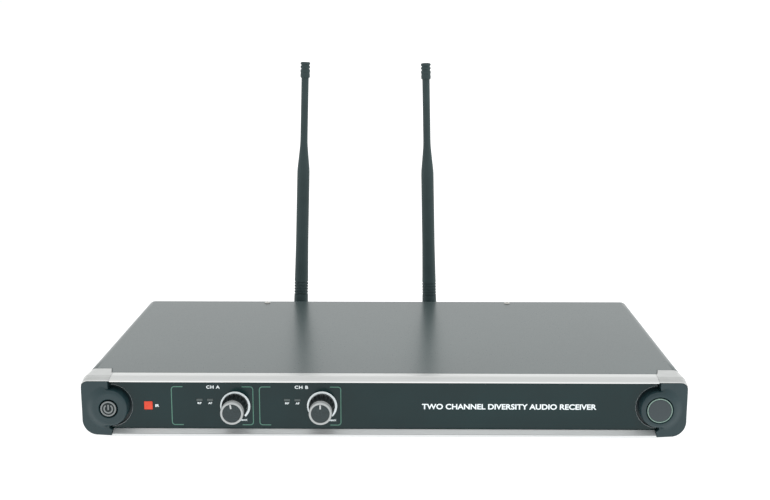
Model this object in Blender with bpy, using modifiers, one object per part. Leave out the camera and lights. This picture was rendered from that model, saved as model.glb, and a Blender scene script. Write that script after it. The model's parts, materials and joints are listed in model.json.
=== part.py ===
"""A two-channel wireless receiver: a low steel case with aluminium front rails, black end caps that
hold a push button each, two volume knobs and two folding antennas on the back.

Metres, +Z up, front towards -Y. Numbers inside the case are measured from the front lip of the rails
(y) and from the underside of the case (z); the empty "case" puts that point in the world.
"""

from math import asin, cos, degrees, radians, sin

import bmesh
import bpy
from mathutils import Vector

# Driving sizes
CASE_WIDTH = 0.420
CASE_HEIGHT = 0.042
CASE_DEPTH = 0.231
FOOT_HEIGHT = 0.004
TRAY_WALL = 0.0086
SHEET = 0.0012
GAP = 0.0003
CONTROL_Z = 0.0209  # the line that the knobs, buttons and sockets sit on
FASCIA_Y = 0.005  # front face of the fascia, behind the lip

# Front
RAIL_DEPTH = 0.014
RAIL_HALF = 0.1896
RAIL_TONGUE = 0.020
LIP_LOW_Z = 0.0392
LIP_TOP_Z = 0.0406
SLOPE_TOP_Z = 0.0047  # top of the bottom rail's slope, in front of the fascia
TRIM_INNER_X = RAIL_HALF + GAP
TRIM_STEP_X = 0.1912  # where the trim's rear edge leaves the rail's line
TRIM_REAR_INNER_X = 0.1934
TRIM_DEPTH = 0.0239
TRIM_LOW_Z = 0.030
TRIM_LIP_END_Z = 0.0379
EDGE_RADIUS = 0.006
SHOULDER = (CASE_WIDTH / 2 - EDGE_RADIUS, CASE_HEIGHT - EDGE_RADIUS)  # centre of the rounded edge
LIP_CORNER = (0.2046, 0.0352)  # centre of the curve under the trim's front lip
LIP_INNER_RADIUS = 0.005
TRIM_NOSE = 0.007  # depth of the sloping facet at the front of the trim and the rail
SIDE_SEAM_Z = 0.0297  # where the end cap meets the silver trim on the case's side
CAP_INNER_X = 0.191
CAP_FOOT_X = 0.1890
CAP_TOP_Z = 0.0399
CAP_FACE_THICK = 0.003
CAP_DEPTH = 0.0236
CAP_WALL = 0.0015
BOSS_X = 0.1904
BOSS_RADIUS = 0.0131
BOSS_PROUD = 0.003
BOSS_BACK = 0.0095
FASCIA_HALF = 0.1899
FASCIA_THICK = 0.0027
FASCIA_CUTOUT = 0.015
SUBFRAME_Y = 0.0083
CONTROL_BOARD_Y = 0.015
BOARD_THICK = 0.0016

# Knobs and lights, from left to right
KNOB_X = {"a": -0.1036, "b": -0.04295}
KNOB_FRONT = 0.0175  # ahead of the fascia
LIGHT_X = {"a": (-0.1283, -0.1209), "b": (-0.0672, -0.0599)}
LIGHT_Z = 0.0250
LIGHT_SIZE = (0.0043, 0.0018)
IR_X = -0.1642
IR_SIDE = 0.0059
BUTTON_BORE = {"power": 0.0063, "select": 0.0091}
STEM_BORE = 0.0019
SHAFT_HOLE = 0.0043
SUBFRAME_SHAFT_HOLE = 0.0039
WINDOW_GAP = 0.00015

# Back
PANEL_Y = 0.2289
ANTENNA_X = {"a": -0.07775, "b": 0.03784}
ANTENNA_PIVOT_Y = 0.250
ANTENNA_LEAN = {"a": radians(1.8), "b": radians(-1.28)}  # towards the middle of the case
ANTENNA_TILT = {"a": 0.0, "b": radians(4.0)}  # towards the front
WHIP_LENGTH = 0.2286
KNUCKLE = 0.0062
HINGE_HOLE = 0.00135
HINGE_PIN = 0.00125
XLR_X = {"a": 0.084, "b": 0.116}
XLR_FLANGE = (0.013, 0.0155)  # half its width and half its height
XLR_BARREL = 0.0118
XLR_SOCKET = 0.0093
XLR_PIN = 0.0012
XLR_PIN_CIRCLE = 0.0047
JACK_X = 0.146
JACK_BORE = 0.0032
DC_X = 0.172
DC_BORE = 0.0031
DC_PIN = 0.00105
PANEL_HOLES = {"antenna": 0.0051, "xlr": 0.0121, "jack": 0.0050, "dc": 0.0048}
SCREW_HOLE = 0.0018
COVER_SCREW = (0.1045, 0.2250)
REAR_SCREW = (0.198, 0.005)

# Inside
BOARD_LOW = (-0.112, 0.070)
BOARD_HIGH = (0.194, 0.218)
BOARD_Z = 0.007
POST_RADIUS = 0.003
BOARD_TOP = BOARD_Z + BOARD_THICK + GAP

LIP_WORLD_Y = -(ANTENNA_PIVOT_Y + KNUCKLE + FASCIA_Y - KNOB_FRONT) / 2
ROUND = 24
FINE = 16
SMALL = 12

RIGHT_TURN = radians(90)
VIEWS = {
    "front": (RIGHT_TURN, 0, 0),
    "side": (RIGHT_TURN, 0, RIGHT_TURN),
    "top": (0, 0, 0),
}
AXES = {"x": (0, RIGHT_TURN, 0), "y": (-RIGHT_TURN, 0, 0), "z": (0, 0, 0), "-y": (RIGHT_TURN, 0, 0)}


# ---------------------------------------------------------------- scene and materials


def clear_scene():
    for obj in list(bpy.data.objects):
        bpy.data.objects.remove(obj, do_unlink=True)


def new_collection(name, hidden):
    collection = bpy.data.collections.new(name)
    collection.hide_render = hidden
    bpy.context.scene.collection.children.link(collection)
    return collection


clear_scene()
PARTS = new_collection("wireless_receiver", False)
CUTTERS = new_collection("cutters", True)


def paint(name, colour, roughness, metallic=0.0):
    material = bpy.data.materials.new(name)
    material.use_nodes = True
    shader = material.node_tree.nodes["Principled BSDF"]
    shader.inputs["Base Color"].default_value = (*colour, 1.0)
    shader.inputs["Roughness"].default_value = roughness
    shader.inputs["Metallic"].default_value = metallic
    return material


COVER_GREY = ("cover_grey", (0.05, 0.056, 0.058), 0.35, 0.3)
STEEL = ("zinc_steel", (0.55, 0.56, 0.57), 0.4, 0.9)
SATIN_ALUMINIUM = ("satin_aluminium", (0.78, 0.79, 0.78), 0.3, 0.9)
FASCIA_GREY = ("fascia_grey", (0.035, 0.05, 0.052), 0.25, 0.0)
BLACK_PLASTIC = ("black_plastic", (0.03, 0.036, 0.037), 0.4, 0.0)
BLACK_RUBBER = ("black_rubber", (0.015, 0.016, 0.017), 0.7, 0.0)
BUTTON_GREY = ("button_grey", (0.09, 0.11, 0.115), 0.35, 0.0)
GREEN_LIGHT = ("green_light", (0.25, 0.5, 0.42), 0.35, 0.0)
SMOKED_LENS = ("smoked_lens", (0.1, 0.12, 0.12), 0.2, 0.0)
RED_LENS = ("red_lens", (0.75, 0.1, 0.07), 0.2, 0.0)
BOARD_GREEN = ("board_green", (0.02, 0.16, 0.07), 0.45, 0.0)
TIN = ("tinned_steel", (0.7, 0.7, 0.68), 0.35, 0.95)
NICKEL = ("nickel", (0.66, 0.64, 0.6), 0.25, 1.0)
BLACK_SLEEVE = ("black_sleeve", (0.02, 0.02, 0.022), 0.5, 0.0)
RIBBON_GREY = ("ribbon_grey", (0.45, 0.46, 0.47), 0.6, 0.0)


# ---------------------------------------------------------------- shapes


def empty(name, location, rotation=(0, 0, 0), parent=None):
    obj = bpy.data.objects.new(name, None)
    obj.location = location
    obj.rotation_euler = rotation
    obj.parent = parent
    PARTS.objects.link(obj)
    return obj


def place(name, mesh, finish, parent, location=(0, 0, 0), rotation=(0, 0, 0)):
    """A part has a finish; a helper has none and goes with the cutters."""
    obj = bpy.data.objects.new(name, mesh)
    obj.location = location
    obj.rotation_euler = rotation
    obj.parent = parent
    if finish is None:
        CUTTERS.objects.link(obj)
        obj.hide_render = True
        obj.display_type = "WIRE"
    else:
        PARTS.objects.link(obj)
        mesh.materials.append(paint(name + "_" + finish[0], *finish[1:]))
    return obj


def mesh_from(bm, name):
    mesh = bpy.data.meshes.new(name)
    bm.to_mesh(mesh)
    bm.free()
    return mesh


def box(name, low, high, finish, parent, bevel=0.0):
    size = [b - a for a, b in zip(low, high)]
    bm = bmesh.new()
    bmesh.ops.create_cube(bm, size=1.0)
    bmesh.ops.scale(bm, vec=size, verts=bm.verts)
    middle = [(a + b) / 2 for a, b in zip(low, high)]
    obj = place(name, mesh_from(bm, name), finish, parent, middle)
    if bevel:
        round_edges(obj, bevel)
    return obj


def round_edges(obj, width, segments=2):
    bevel = obj.modifiers.new("rounded_edges", "BEVEL")
    bevel.width = width
    bevel.segments = segments
    bevel.limit_method = "ANGLE"
    bevel.angle_limit = radians(40)


def rod(name, centre, axis, start, end, radius, finish, parent, sides=FINE):
    """A cylinder along one axis from start to end; centre holds its other two coordinates."""
    bm = bmesh.new()
    bmesh.ops.create_cone(
        bm, cap_ends=True, segments=sides, radius1=radius, radius2=radius, depth=end - start
    )
    location = list(centre)
    location["xyz".index(axis)] = (start + end) / 2
    return place(name, mesh_from(bm, name), finish, parent, location, AXES[axis])


def turned(name, profile, finish, parent, location, axis="z", sides=ROUND):
    """A solid of revolution. The profile runs down its outer side, as (radius, height) pairs."""
    bm = bmesh.new()
    verts = [bm.verts.new((radius, 0, height)) for radius, height in profile]
    for a, b in zip(verts, verts[1:]):
        bm.edges.new((a, b))
    if profile[0][0] or profile[-1][0]:
        bm.edges.new((verts[-1], verts[0]))
    obj = place(name, mesh_from(bm, name), finish, parent, location, AXES[axis])
    screw = obj.modifiers.new("turned", "SCREW")
    screw.axis = "Z"
    screw.steps = sides
    screw.render_steps = sides
    screw.use_merge_vertices = True
    screw.merge_threshold = 0.00001
    return obj


def arc(centre, radius, start_deg, end_deg, steps):
    """Points on an arc, or on an ellipse's where radius is a pair."""
    wide, tall = radius if isinstance(radius, tuple) else (radius, radius)
    points = []
    for i in range(steps + 1):
        angle = radians(start_deg + (end_deg - start_deg) * i / steps)
        points.append((centre[0] + wide * cos(angle), centre[1] + tall * sin(angle)))
    return points


def mirrored(points, side):
    return [(side * x, z) for x, z in points]


def outline(name, points, low, high, view, finish, parent):
    """A flat outline given thickness from low to high, square to the view that it is drawn in."""
    curve = bpy.data.curves.new(name, "CURVE")
    curve.dimensions = "2D"
    curve.fill_mode = "BOTH"
    curve.extrude = (high - low) / 2
    spline = curve.splines.new("POLY")
    spline.points.add(len(points) - 1)
    for point, (a, b) in zip(spline.points, points):
        point.co = (a, b, 0, 1)
    spline.use_cyclic_u = True
    drawn = bpy.data.objects.new(name + "_outline", curve)
    PARTS.objects.link(drawn)
    graph = bpy.context.evaluated_depsgraph_get()
    mesh = bpy.data.meshes.new_from_object(drawn.evaluated_get(graph))
    bpy.data.objects.remove(drawn, do_unlink=True)
    bm = bmesh.new()
    bm.from_mesh(mesh)
    bmesh.ops.remove_doubles(bm, verts=bm.verts, dist=0.000001)
    bmesh.ops.recalc_face_normals(bm, faces=bm.faces)
    bm.to_mesh(mesh)
    bm.free()
    location = [0, 0, 0]
    location[{"front": 1, "side": 0, "top": 2}[view]] = (low + high) / 2
    return place(name, mesh, finish, parent, location, VIEWS[view])


def sheet(name, points, low, high, view, thickness, finish, parent):
    """An open bent sheet: the outer line of its section, swept from low to high, then thickened inwards."""
    bm = bmesh.new()
    rows = []
    for depth in (low, high):
        rows.append([bm.verts.new((a, b, depth)) for a, b in points])
    for i in range(len(points) - 1):
        bm.faces.new((rows[0][i], rows[1][i], rows[1][i + 1], rows[0][i + 1]))
    if view == "front":
        # a front view's depth runs along -Y once it is turned
        bmesh.ops.scale(bm, vec=(1, 1, -1), verts=bm.verts)
    obj = place(name, mesh_from(bm, name), finish, parent, (0, 0, 0), VIEWS[view])
    solid = obj.modifiers.new("sheet", "SOLIDIFY")
    solid.thickness = thickness
    solid.offset = -1
    solid.use_even_offset = True
    return obj


def combine(obj, helper, operation):
    modifier = obj.modifiers.new(helper.name, "BOOLEAN")
    modifier.operation = operation
    modifier.object = helper
    modifier.solver = "EXACT"


def cut(obj, *helpers):
    for helper in helpers:
        combine(obj, helper, "DIFFERENCE")


def join(obj, *helpers):
    for helper in helpers:
        combine(obj, helper, "UNION")


def smooth_round(obj):
    obj.data.shade_smooth()
    obj.data.set_sharp_from_angle(angle=radians(40))


# ---------------------------------------------------------------- case


CASE = empty("case", (0, LIP_WORLD_Y, FOOT_HEIGHT))


def make_top_cover():
    half = CASE_WIDTH / 2
    right = [(half, 0.0005)] + arc(SHOULDER, EDGE_RADIUS, 0, 90, 5)
    left = mirrored(right, -1)[::-1]
    cover = sheet(
        "top_cover", right + left, RAIL_DEPTH + GAP, CASE_DEPTH, "front", SHEET, COVER_GREY, CASE
    )
    for side, label in ((-1, "left"), (1, "right")):
        notch = [
            (TRIM_STEP_X - GAP, -0.001),
            (TRIM_STEP_X - GAP, RAIL_DEPTH + GAP),
            (TRIM_REAR_INNER_X - GAP, TRIM_DEPTH + GAP),
            (0.220, TRIM_DEPTH + GAP),
            (0.220, -0.001),
        ]
        cut(cover, outline("cover_notch_" + label, mirrored(notch, side), -0.01, 0.05, "top", None, CASE))
        centre = (side * COVER_SCREW[0], COVER_SCREW[1], 0)
        cut(cover, rod("cover_hole_" + label, centre, "z", 0.035, 0.045, SCREW_HOLE, None, CASE, SMALL))
    return cover


def make_bottom_chassis():
    """A tray with a wall on both sides and at the back, and the posts that the main board stands on."""
    low = Vector((-CASE_WIDTH / 2 + SHEET + GAP, RAIL_DEPTH + GAP, 0))
    high = Vector((CASE_WIDTH / 2 - SHEET - GAP, PANEL_Y - GAP, TRAY_WALL))
    bm = bmesh.new()
    bmesh.ops.create_cube(bm, size=1.0)
    bmesh.ops.scale(bm, vec=high - low, verts=bm.verts)
    open_sides = [f for f in bm.faces if f.normal.z > 0.9 or f.normal.y < -0.9]
    bmesh.ops.delete(bm, geom=open_sides, context="FACES_ONLY")
    tray = place("bottom_chassis", mesh_from(bm, "bottom_chassis"), STEEL, CASE, (low + high) / 2)
    solid = tray.modifiers.new("sheet", "SOLIDIFY")
    solid.thickness = SHEET
    solid.offset = -1
    solid.use_even_offset = True
    for x in (BOARD_LOW[0] + 0.008, BOARD_HIGH[0] - 0.008):
        for y in (BOARD_LOW[1] + 0.008, BOARD_HIGH[1] - 0.018):
            name = "board_post_%d_%d" % (x * 1000, y * 1000)
            join(tray, rod(name, (x, y, 0), "z", SHEET / 2, BOARD_Z - GAP, POST_RADIUS, None, CASE, SMALL))
    for side, label in ((-1, "left"), (1, "right")):
        centre = (side * REAR_SCREW[0], 0, REAR_SCREW[1])
        cut(tray, rod("tray_hole_" + label, centre, "y", 0.220, 0.235, SCREW_HOLE, None, CASE, SMALL))
        x_low, x_high = sorted((side * (CAP_FOOT_X - GAP), side * 0.220))
        low, high = (x_low, 0.010, -0.005), (x_high, CAP_DEPTH + GAP, 0.020)
        cut(tray, box("tray_corner_" + label, low, high, None, CASE))
    return tray


def make_rear_panel():
    half = CASE_WIDTH / 2 - SHEET - GAP
    top = CASE_HEIGHT - SHEET - GAP
    back = PANEL_Y + SHEET
    section = [
        (back, 0.0005),
        (back, top),
        (0.216, top),
        (0.216, top - SHEET),
        (PANEL_Y, top - SHEET),
        (PANEL_Y, 0.0005),
    ]
    panel = outline("rear_panel", section, -half, half, "side", STEEL, CASE)

    sockets = [("antenna", x) for x in ANTENNA_X.values()] + [("xlr", x) for x in XLR_X.values()]
    sockets += [("jack", JACK_X), ("dc", DC_X)]
    for number, (kind, x) in enumerate(sockets):
        centre = (x, 0, CONTROL_Z)
        name = f"{kind}_hole_{number}"
        cut(panel, rod(name, centre, "y", 0.225, 0.235, PANEL_HOLES[kind], None, CASE, FINE))
    for side, label in ((-1, "left"), (1, "right")):
        centre = (side * REAR_SCREW[0], 0, REAR_SCREW[1])
        cut(panel, rod("panel_hole_" + label, centre, "y", 0.225, 0.235, SCREW_HOLE, None, CASE, SMALL))
        centre = (side * COVER_SCREW[0], COVER_SCREW[1], 0)
        cut(panel, rod("flange_hole_" + label, centre, "z", 0.035, 0.045, SCREW_HOLE, None, CASE, SMALL))
        corner = arc(SHOULDER, top - SHOULDER[1], 90, 0, 5) + [(0.211, SHOULDER[1]), (0.211, 0.043)]
        corner.append((SHOULDER[0], 0.043))
        name = "panel_corner_" + label
        cut(panel, outline(name, mirrored(corner, side), 0.210, 0.235, "front", None, CASE))
    return panel


def make_screws():
    head = [(0, 0.0011), (0.0016, 0.0011), (0.0026, 0.0006), (0.0026, GAP)]
    shank = [(0.0014, GAP), (0.0014, -0.0045), (0, -0.0045)]
    for side, label in ((-1, "left"), (1, "right")):
        top = (side * COVER_SCREW[0], COVER_SCREW[1], CASE_HEIGHT)
        smooth_round(turned("cover_screw_" + label, head + shank, NICKEL, CASE, top, "z", SMALL))
        back = (side * REAR_SCREW[0], PANEL_Y + SHEET, REAR_SCREW[1])
        smooth_round(turned("rear_screw_" + label, head + shank, NICKEL, CASE, back, "y", SMALL))


def make_feet():
    profile = [(0, -GAP), (0.0090, -GAP), (0.0090, -0.0030), (0.0080, -FOOT_HEIGHT), (0, -FOOT_HEIGHT)]
    for y, row in ((0.032, "front"), (0.204, "rear")):
        for x, side in ((-0.178, "left"), (0.178, "right")):
            smooth_round(turned(f"foot_{row}_{side}", profile, BLACK_RUBBER, CASE, (x, y, 0), "z", FINE))


# ---------------------------------------------------------------- front


def make_rails():
    top = [
        (0, LIP_LOW_Z),
        (FASCIA_Y - GAP, LIP_LOW_Z),
        (FASCIA_Y - GAP, CAP_TOP_Z),
        (RAIL_TONGUE, CAP_TOP_Z),
        (RAIL_TONGUE, 0.0405),
        (RAIL_DEPTH, 0.0405),
        (RAIL_DEPTH, CASE_HEIGHT),
        (TRIM_NOSE, CASE_HEIGHT),
        (0.0004, LIP_TOP_Z),
        (0, LIP_TOP_Z - 0.0004),
    ]
    outline("front_top_rail", top, -RAIL_HALF, RAIL_HALF, "side", SATIN_ALUMINIUM, CASE)
    bottom = [
        (0.0004, 0.0001),
        (RAIL_DEPTH, 0.0001),
        (RAIL_DEPTH, 0.0015),
        (RAIL_TONGUE, 0.0015),
        (RAIL_TONGUE, 0.0025),
        (FASCIA_Y + FASCIA_THICK + GAP, 0.0025),
        (FASCIA_Y + FASCIA_THICK + GAP, 0.0032),
        (FASCIA_Y - GAP, 0.0032),
        (FASCIA_Y - GAP, SLOPE_TOP_Z),
        (0.0039, SLOPE_TOP_Z),
        (0.0005, 0.0020),
        (0, 0.0017),
        (0, 0.0005),
    ]
    half = CAP_FOOT_X - GAP
    outline("front_bottom_rail", bottom, -half, half, "side", SATIN_ALUMINIUM, CASE)


def make_corner_trim(side, label):
    """The silver corner: it lies on the end cap, wraps the rounded edge and goes down the side."""
    half = CASE_WIDTH / 2
    low = CAP_TOP_Z + GAP
    wall = CASE_HEIGHT - low
    back = [(TRIM_INNER_X, low), (TRIM_INNER_X, CASE_HEIGHT)]
    back += arc(SHOULDER, EDGE_RADIUS, 90, 0, 8)
    back += [(half, TRIM_LOW_Z), (half - wall, TRIM_LOW_Z)]
    back += arc(SHOULDER, EDGE_RADIUS - wall, 0, 90, 5)
    name = "corner_trim_" + label
    seam = CAP_FACE_THICK + GAP
    trim = outline(name, mirrored(back, side), seam, TRIM_DEPTH, "front", SATIN_ALUMINIUM, CASE)
    outer_end = degrees(asin((TRIM_LIP_END_Z - SHOULDER[1]) / EDGE_RADIUS))
    inner_end = degrees(asin((TRIM_LIP_END_Z - LIP_CORNER[1]) / LIP_INNER_RADIUS))
    front = [(TRIM_INNER_X, low), (TRIM_INNER_X, CASE_HEIGHT)]
    front += arc(SHOULDER, EDGE_RADIUS, 90, outer_end, 6)
    front += arc(LIP_CORNER, LIP_INNER_RADIUS, inner_end, 90, 6)
    join(trim, outline(name + "_lip", mirrored(front, side), 0, seam + 0.001, "front", None, CASE))
    slope = [(-0.001, LIP_TOP_Z - 0.0004), (0, LIP_TOP_Z - 0.0004), (0.0004, LIP_TOP_Z)]
    slope += [(TRIM_NOSE, CASE_HEIGHT), (TRIM_NOSE, 0.044), (-0.001, 0.044)]
    ends = sorted((side * 0.185, side * 0.215))
    cut(trim, outline(name + "_slope", slope, *ends, "side", None, CASE))
    slant = [
        (0.185, -0.001),
        (TRIM_INNER_X, -0.001),
        (TRIM_INNER_X, RAIL_DEPTH),
        (TRIM_STEP_X, RAIL_DEPTH),
        (TRIM_REAR_INNER_X, TRIM_DEPTH),
        (TRIM_REAR_INNER_X, TRIM_DEPTH + 0.001),
        (0.185, TRIM_DEPTH + 0.001),
    ]
    cut(trim, outline(name + "_slant", mirrored(slant, side), 0.038, 0.044, "top", None, CASE))


def cap_lower_outline():
    """The end cap's outer side below the silver trim, down to its foot beside the bottom rail."""
    return [(0.2099, SIDE_SEAM_Z), (0.2098, 0.0193)] + arc((0.1991, 0.0117), 0.0107, 3, -84, 8)


def make_end_cap(side, label, bore):
    under_lip, beside_lip = LIP_INNER_RADIUS - GAP, 0.0054
    rise = TRIM_LIP_END_Z - GAP - LIP_CORNER[1]
    inner_end = degrees(asin(rise / under_lip))
    outer_start = degrees(asin(rise / beside_lip))
    foot = [(CAP_FOOT_X, 0.0005), (CAP_FOOT_X, 0.0046), (CAP_INNER_X, 0.0060)]
    face = [(CAP_INNER_X, CAP_TOP_Z)] + arc(LIP_CORNER, under_lip, 90, inner_end, 5)
    face += arc(LIP_CORNER, beside_lip, outer_start, 0, 4) + cap_lower_outline() + foot
    name = "end_cap_" + label
    cap = outline(name, mirrored(face, side), 0, CAP_FACE_THICK, "front", BLACK_PLASTIC, CASE)
    shell_radius = CAP_TOP_Z - SHOULDER[1]
    body = [(CAP_INNER_X, CAP_TOP_Z)] + arc(SHOULDER, shell_radius, 90, 0, 5)
    body += [(SHOULDER[0] + shell_radius, SIDE_SEAM_Z)] + cap_lower_outline() + foot
    join(cap, outline(name + "_shell", mirrored(body, side), 0.002, CAP_DEPTH, "front", None, CASE))
    hollow = [(0.180, 0.0035), (0.1925, 0.0035), (0.2005, 0.0042), (0.2055, 0.0100)]
    hollow += [(0.2055, 0.0375), (0.180, 0.0375)]
    cut(cap, outline(name + "_hollow", mirrored(hollow, side), 0.0025, 0.030, "front", None, CASE))
    wall_x = sorted((side * CAP_INNER_X, side * (CAP_INNER_X + CAP_WALL)))
    join(cap, box(name + "_wall", (wall_x[0], 0.002, 0.0045), (wall_x[1], 0.0085, 0.0385), None, CASE))
    boss_at = (side * BOSS_X, 0, CONTROL_Z)
    boss = [(0, BOSS_PROUD), (BOSS_RADIUS - 0.0012, BOSS_PROUD), (BOSS_RADIUS - 0.0004, 0.0026)]
    boss += [(BOSS_RADIUS, 0.0018), (BOSS_RADIUS, -BOSS_BACK), (0, -BOSS_BACK)]
    join(cap, turned(name + "_boss", boss, None, CASE, boss_at, "-y", 40))
    cut(cap, rod(name + "_bore", boss_at, "y", -0.006, 0.012, bore, None, CASE, ROUND))


def make_fascia():
    low = (-FASCIA_HALF, FASCIA_Y, 0.0035)
    high = (FASCIA_HALF, FASCIA_Y + FASCIA_THICK, CAP_TOP_Z - GAP)
    plate = box("front_panel", low, high, FASCIA_GREY, CASE)
    for side, label in ((-1, "left"), (1, "right")):
        centre = (side * BOSS_X, 0, CONTROL_Z)
        cut(plate, rod("fascia_cutout_" + label, centre, "y", 0.003, 0.010, FASCIA_CUTOUT, None, CASE, 40))
    for channel in "ab":
        centre = (KNOB_X[channel], 0, CONTROL_Z)
        cut(plate, rod("fascia_shaft_" + channel, centre, "y", 0.003, 0.010, SHAFT_HOLE, None, CASE, FINE))
    for name, low, high in light_boxes():
        low = (low[0] - WINDOW_GAP, 0.003, low[2] - WINDOW_GAP)
        high = (high[0] + WINDOW_GAP, 0.010, high[2] + WINDOW_GAP)
        cut(plate, box("fascia_" + name, low, high, None, CASE))


def light_boxes():
    """The five small windows as (name, low corner, high corner), each 0.1 mm proud of the fascia."""
    front = FASCIA_Y - 0.0001
    half = IR_SIDE / 2
    low = (IR_X - half, front, CONTROL_Z - half)
    high = (IR_X + half, 0.0080, CONTROL_Z + half)
    found = [("ir_window", low, high)]
    wide, tall = LIGHT_SIZE
    for channel in "ab":
        for kind, x in zip(("rf", "af"), LIGHT_X[channel]):
            low = (x - wide / 2, front, LIGHT_Z - tall / 2)
            high = (x + wide / 2, 0.0120, LIGHT_Z + tall / 2)
            found.append((f"{kind}_light_{channel}", low, high))
    return found


def make_lights():
    for name, low, high in light_boxes():
        box(name, low, high, RED_LENS if name == "ir_window" else SMOKED_LENS, CASE)


def make_subframe():
    """The steel plate behind the fascia, with the posts that hold the control board."""
    back = SUBFRAME_Y + SHEET
    plate = box("front_subframe", (-0.176, SUBFRAME_Y, 0.0028), (0.176, back, 0.0392), STEEL, CASE)
    for channel in "ab":
        centre = (KNOB_X[channel], 0, CONTROL_Z)
        name = "subframe_shaft_" + channel
        cut(plate, rod(name, centre, "y", 0.006, 0.012, SUBFRAME_SHAFT_HOLE, None, CASE, FINE))
        left, right = LIGHT_X[channel]
        low = (left - 0.004, 0.006, LIGHT_Z - 0.0025)
        high = (right + 0.004, 0.012, LIGHT_Z + 0.0025)
        cut(plate, box("subframe_window_" + channel, low, high, None, CASE))
    window = IR_SIDE / 2 + 0.0005
    low = (IR_X - window, 0.006, CONTROL_Z - window)
    high = (IR_X + window, 0.012, CONTROL_Z + window)
    cut(plate, box("subframe_ir", low, high, None, CASE))
    post_end = CONTROL_BOARD_Y - GAP
    for x, z in ((-0.145, 0.010), (-0.020, 0.032), (0.060, 0.010), (0.150, 0.032)):
        name = "control_post_%d" % (x * 1000)
        join(plate, rod(name, (x, 0, z), "y", back - 0.0005, post_end, POST_RADIUS, None, CASE, SMALL))


def make_button(kind, side, profile):
    axis = empty(kind + "_button_axis", (side * BOSS_X, 0, CONTROL_Z), (0, 0, 0), CASE)
    smooth_round(turned(kind + "_button", profile, BUTTON_GREY, axis, (0, 0, 0), "-y"))
    low = (side * BOSS_X - 0.006, 0.0114, CONTROL_Z - 0.006)
    high = (side * BOSS_X + 0.006, CONTROL_BOARD_Y - GAP, CONTROL_Z + 0.006)
    switch = box(kind + "_switch", low, high, BLACK_PLASTIC, CASE)
    centre = (side * BOSS_X, 0, CONTROL_Z)
    cut(switch, rod(kind + "_switch_bore", centre, "y", 0.010, 0.0142, STEM_BORE, None, CASE, SMALL))
    return axis


def make_buttons():
    """Each button's stem ends in a plunger that slides inside its switch."""
    stem = [(0.003, -0.0040), (0.003, -0.0096), (0.0016, -0.0096), (0.0016, -0.0121), (0, -0.0121)]
    power = [(0, 0.0033), (0.0055, 0.0033), (0.0058, 0.0030), (0.0058, -0.0040)] + stem
    make_button("power", -1, power)
    select = [(0, 0.0033), (0.0076, 0.0033), (0.0076, 0.0020), (0.0085, 0.0020), (0.0085, -0.0040)]
    axis = make_button("select", 1, select + stem)
    ring = [(0.0079, 0.0033), (0.0084, 0.0033), (0.0085, 0.0032), (0.0085, 0.0023), (0.0079, 0.0023)]
    smooth_round(turned("select_light_ring", ring, GREEN_LIGHT, axis, (0, 0, 0), "-y"))


def make_knob(channel):
    axis = empty(f"knob_{channel}_axis", (KNOB_X[channel], FASCIA_Y, CONTROL_Z), (0, 0, 0), CASE)
    body = [
        (0, 0.0162),
        (0.0072, 0.0162),
        (0.0072, 0.0122),
        (0.0080, 0.0122),
        (0.0090, 0.0020),
        (0.0090, 0.0007),
        (0.0068, 0.0007),
        (0.0068, 0.0080),
        (0.0031, 0.0080),
        (0.0031, 0.0140),
        (0, 0.0140),
    ]
    smooth_round(turned("knob_" + channel, body, BLACK_RUBBER, axis, (0, 0, 0), "-y"))
    band = [
        (0, KNOB_FRONT),
        (0.0075, KNOB_FRONT),
        (0.0079, KNOB_FRONT - 0.0004),
        (0.0079, 0.0125),
        (0.0075, 0.0125),
        (0.0075, 0.0165),
        (0, 0.0165),
    ]
    smooth_round(turned("knob_band_" + channel, band, SATIN_ALUMINIUM, axis, (0, 0, 0), "-y"))
    shaft = [(0, 0.0137), (0.0027, 0.0137), (0.0030, 0.0134), (0.0030, -0.0080), (0, -0.0080)]
    smooth_round(turned("pot_shaft_" + channel, shaft, TIN, axis, (0, 0, 0), "-y", FINE))
    pot = [
        (0, -0.0083),
        (0.0031, -0.0083),
        (0.0031, 0.0018),
        (0.0035, 0.0018),
        (0.0035, -0.0048),
        (0.0078, -0.0048),
        (0.0078, -0.0097),
        (0, -0.0097),
    ]
    fixed = (KNOB_X[channel], FASCIA_Y, CONTROL_Z)
    smooth_round(turned("pot_" + channel, pot, TIN, CASE, fixed, "-y", FINE))


# ---------------------------------------------------------------- back


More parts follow.
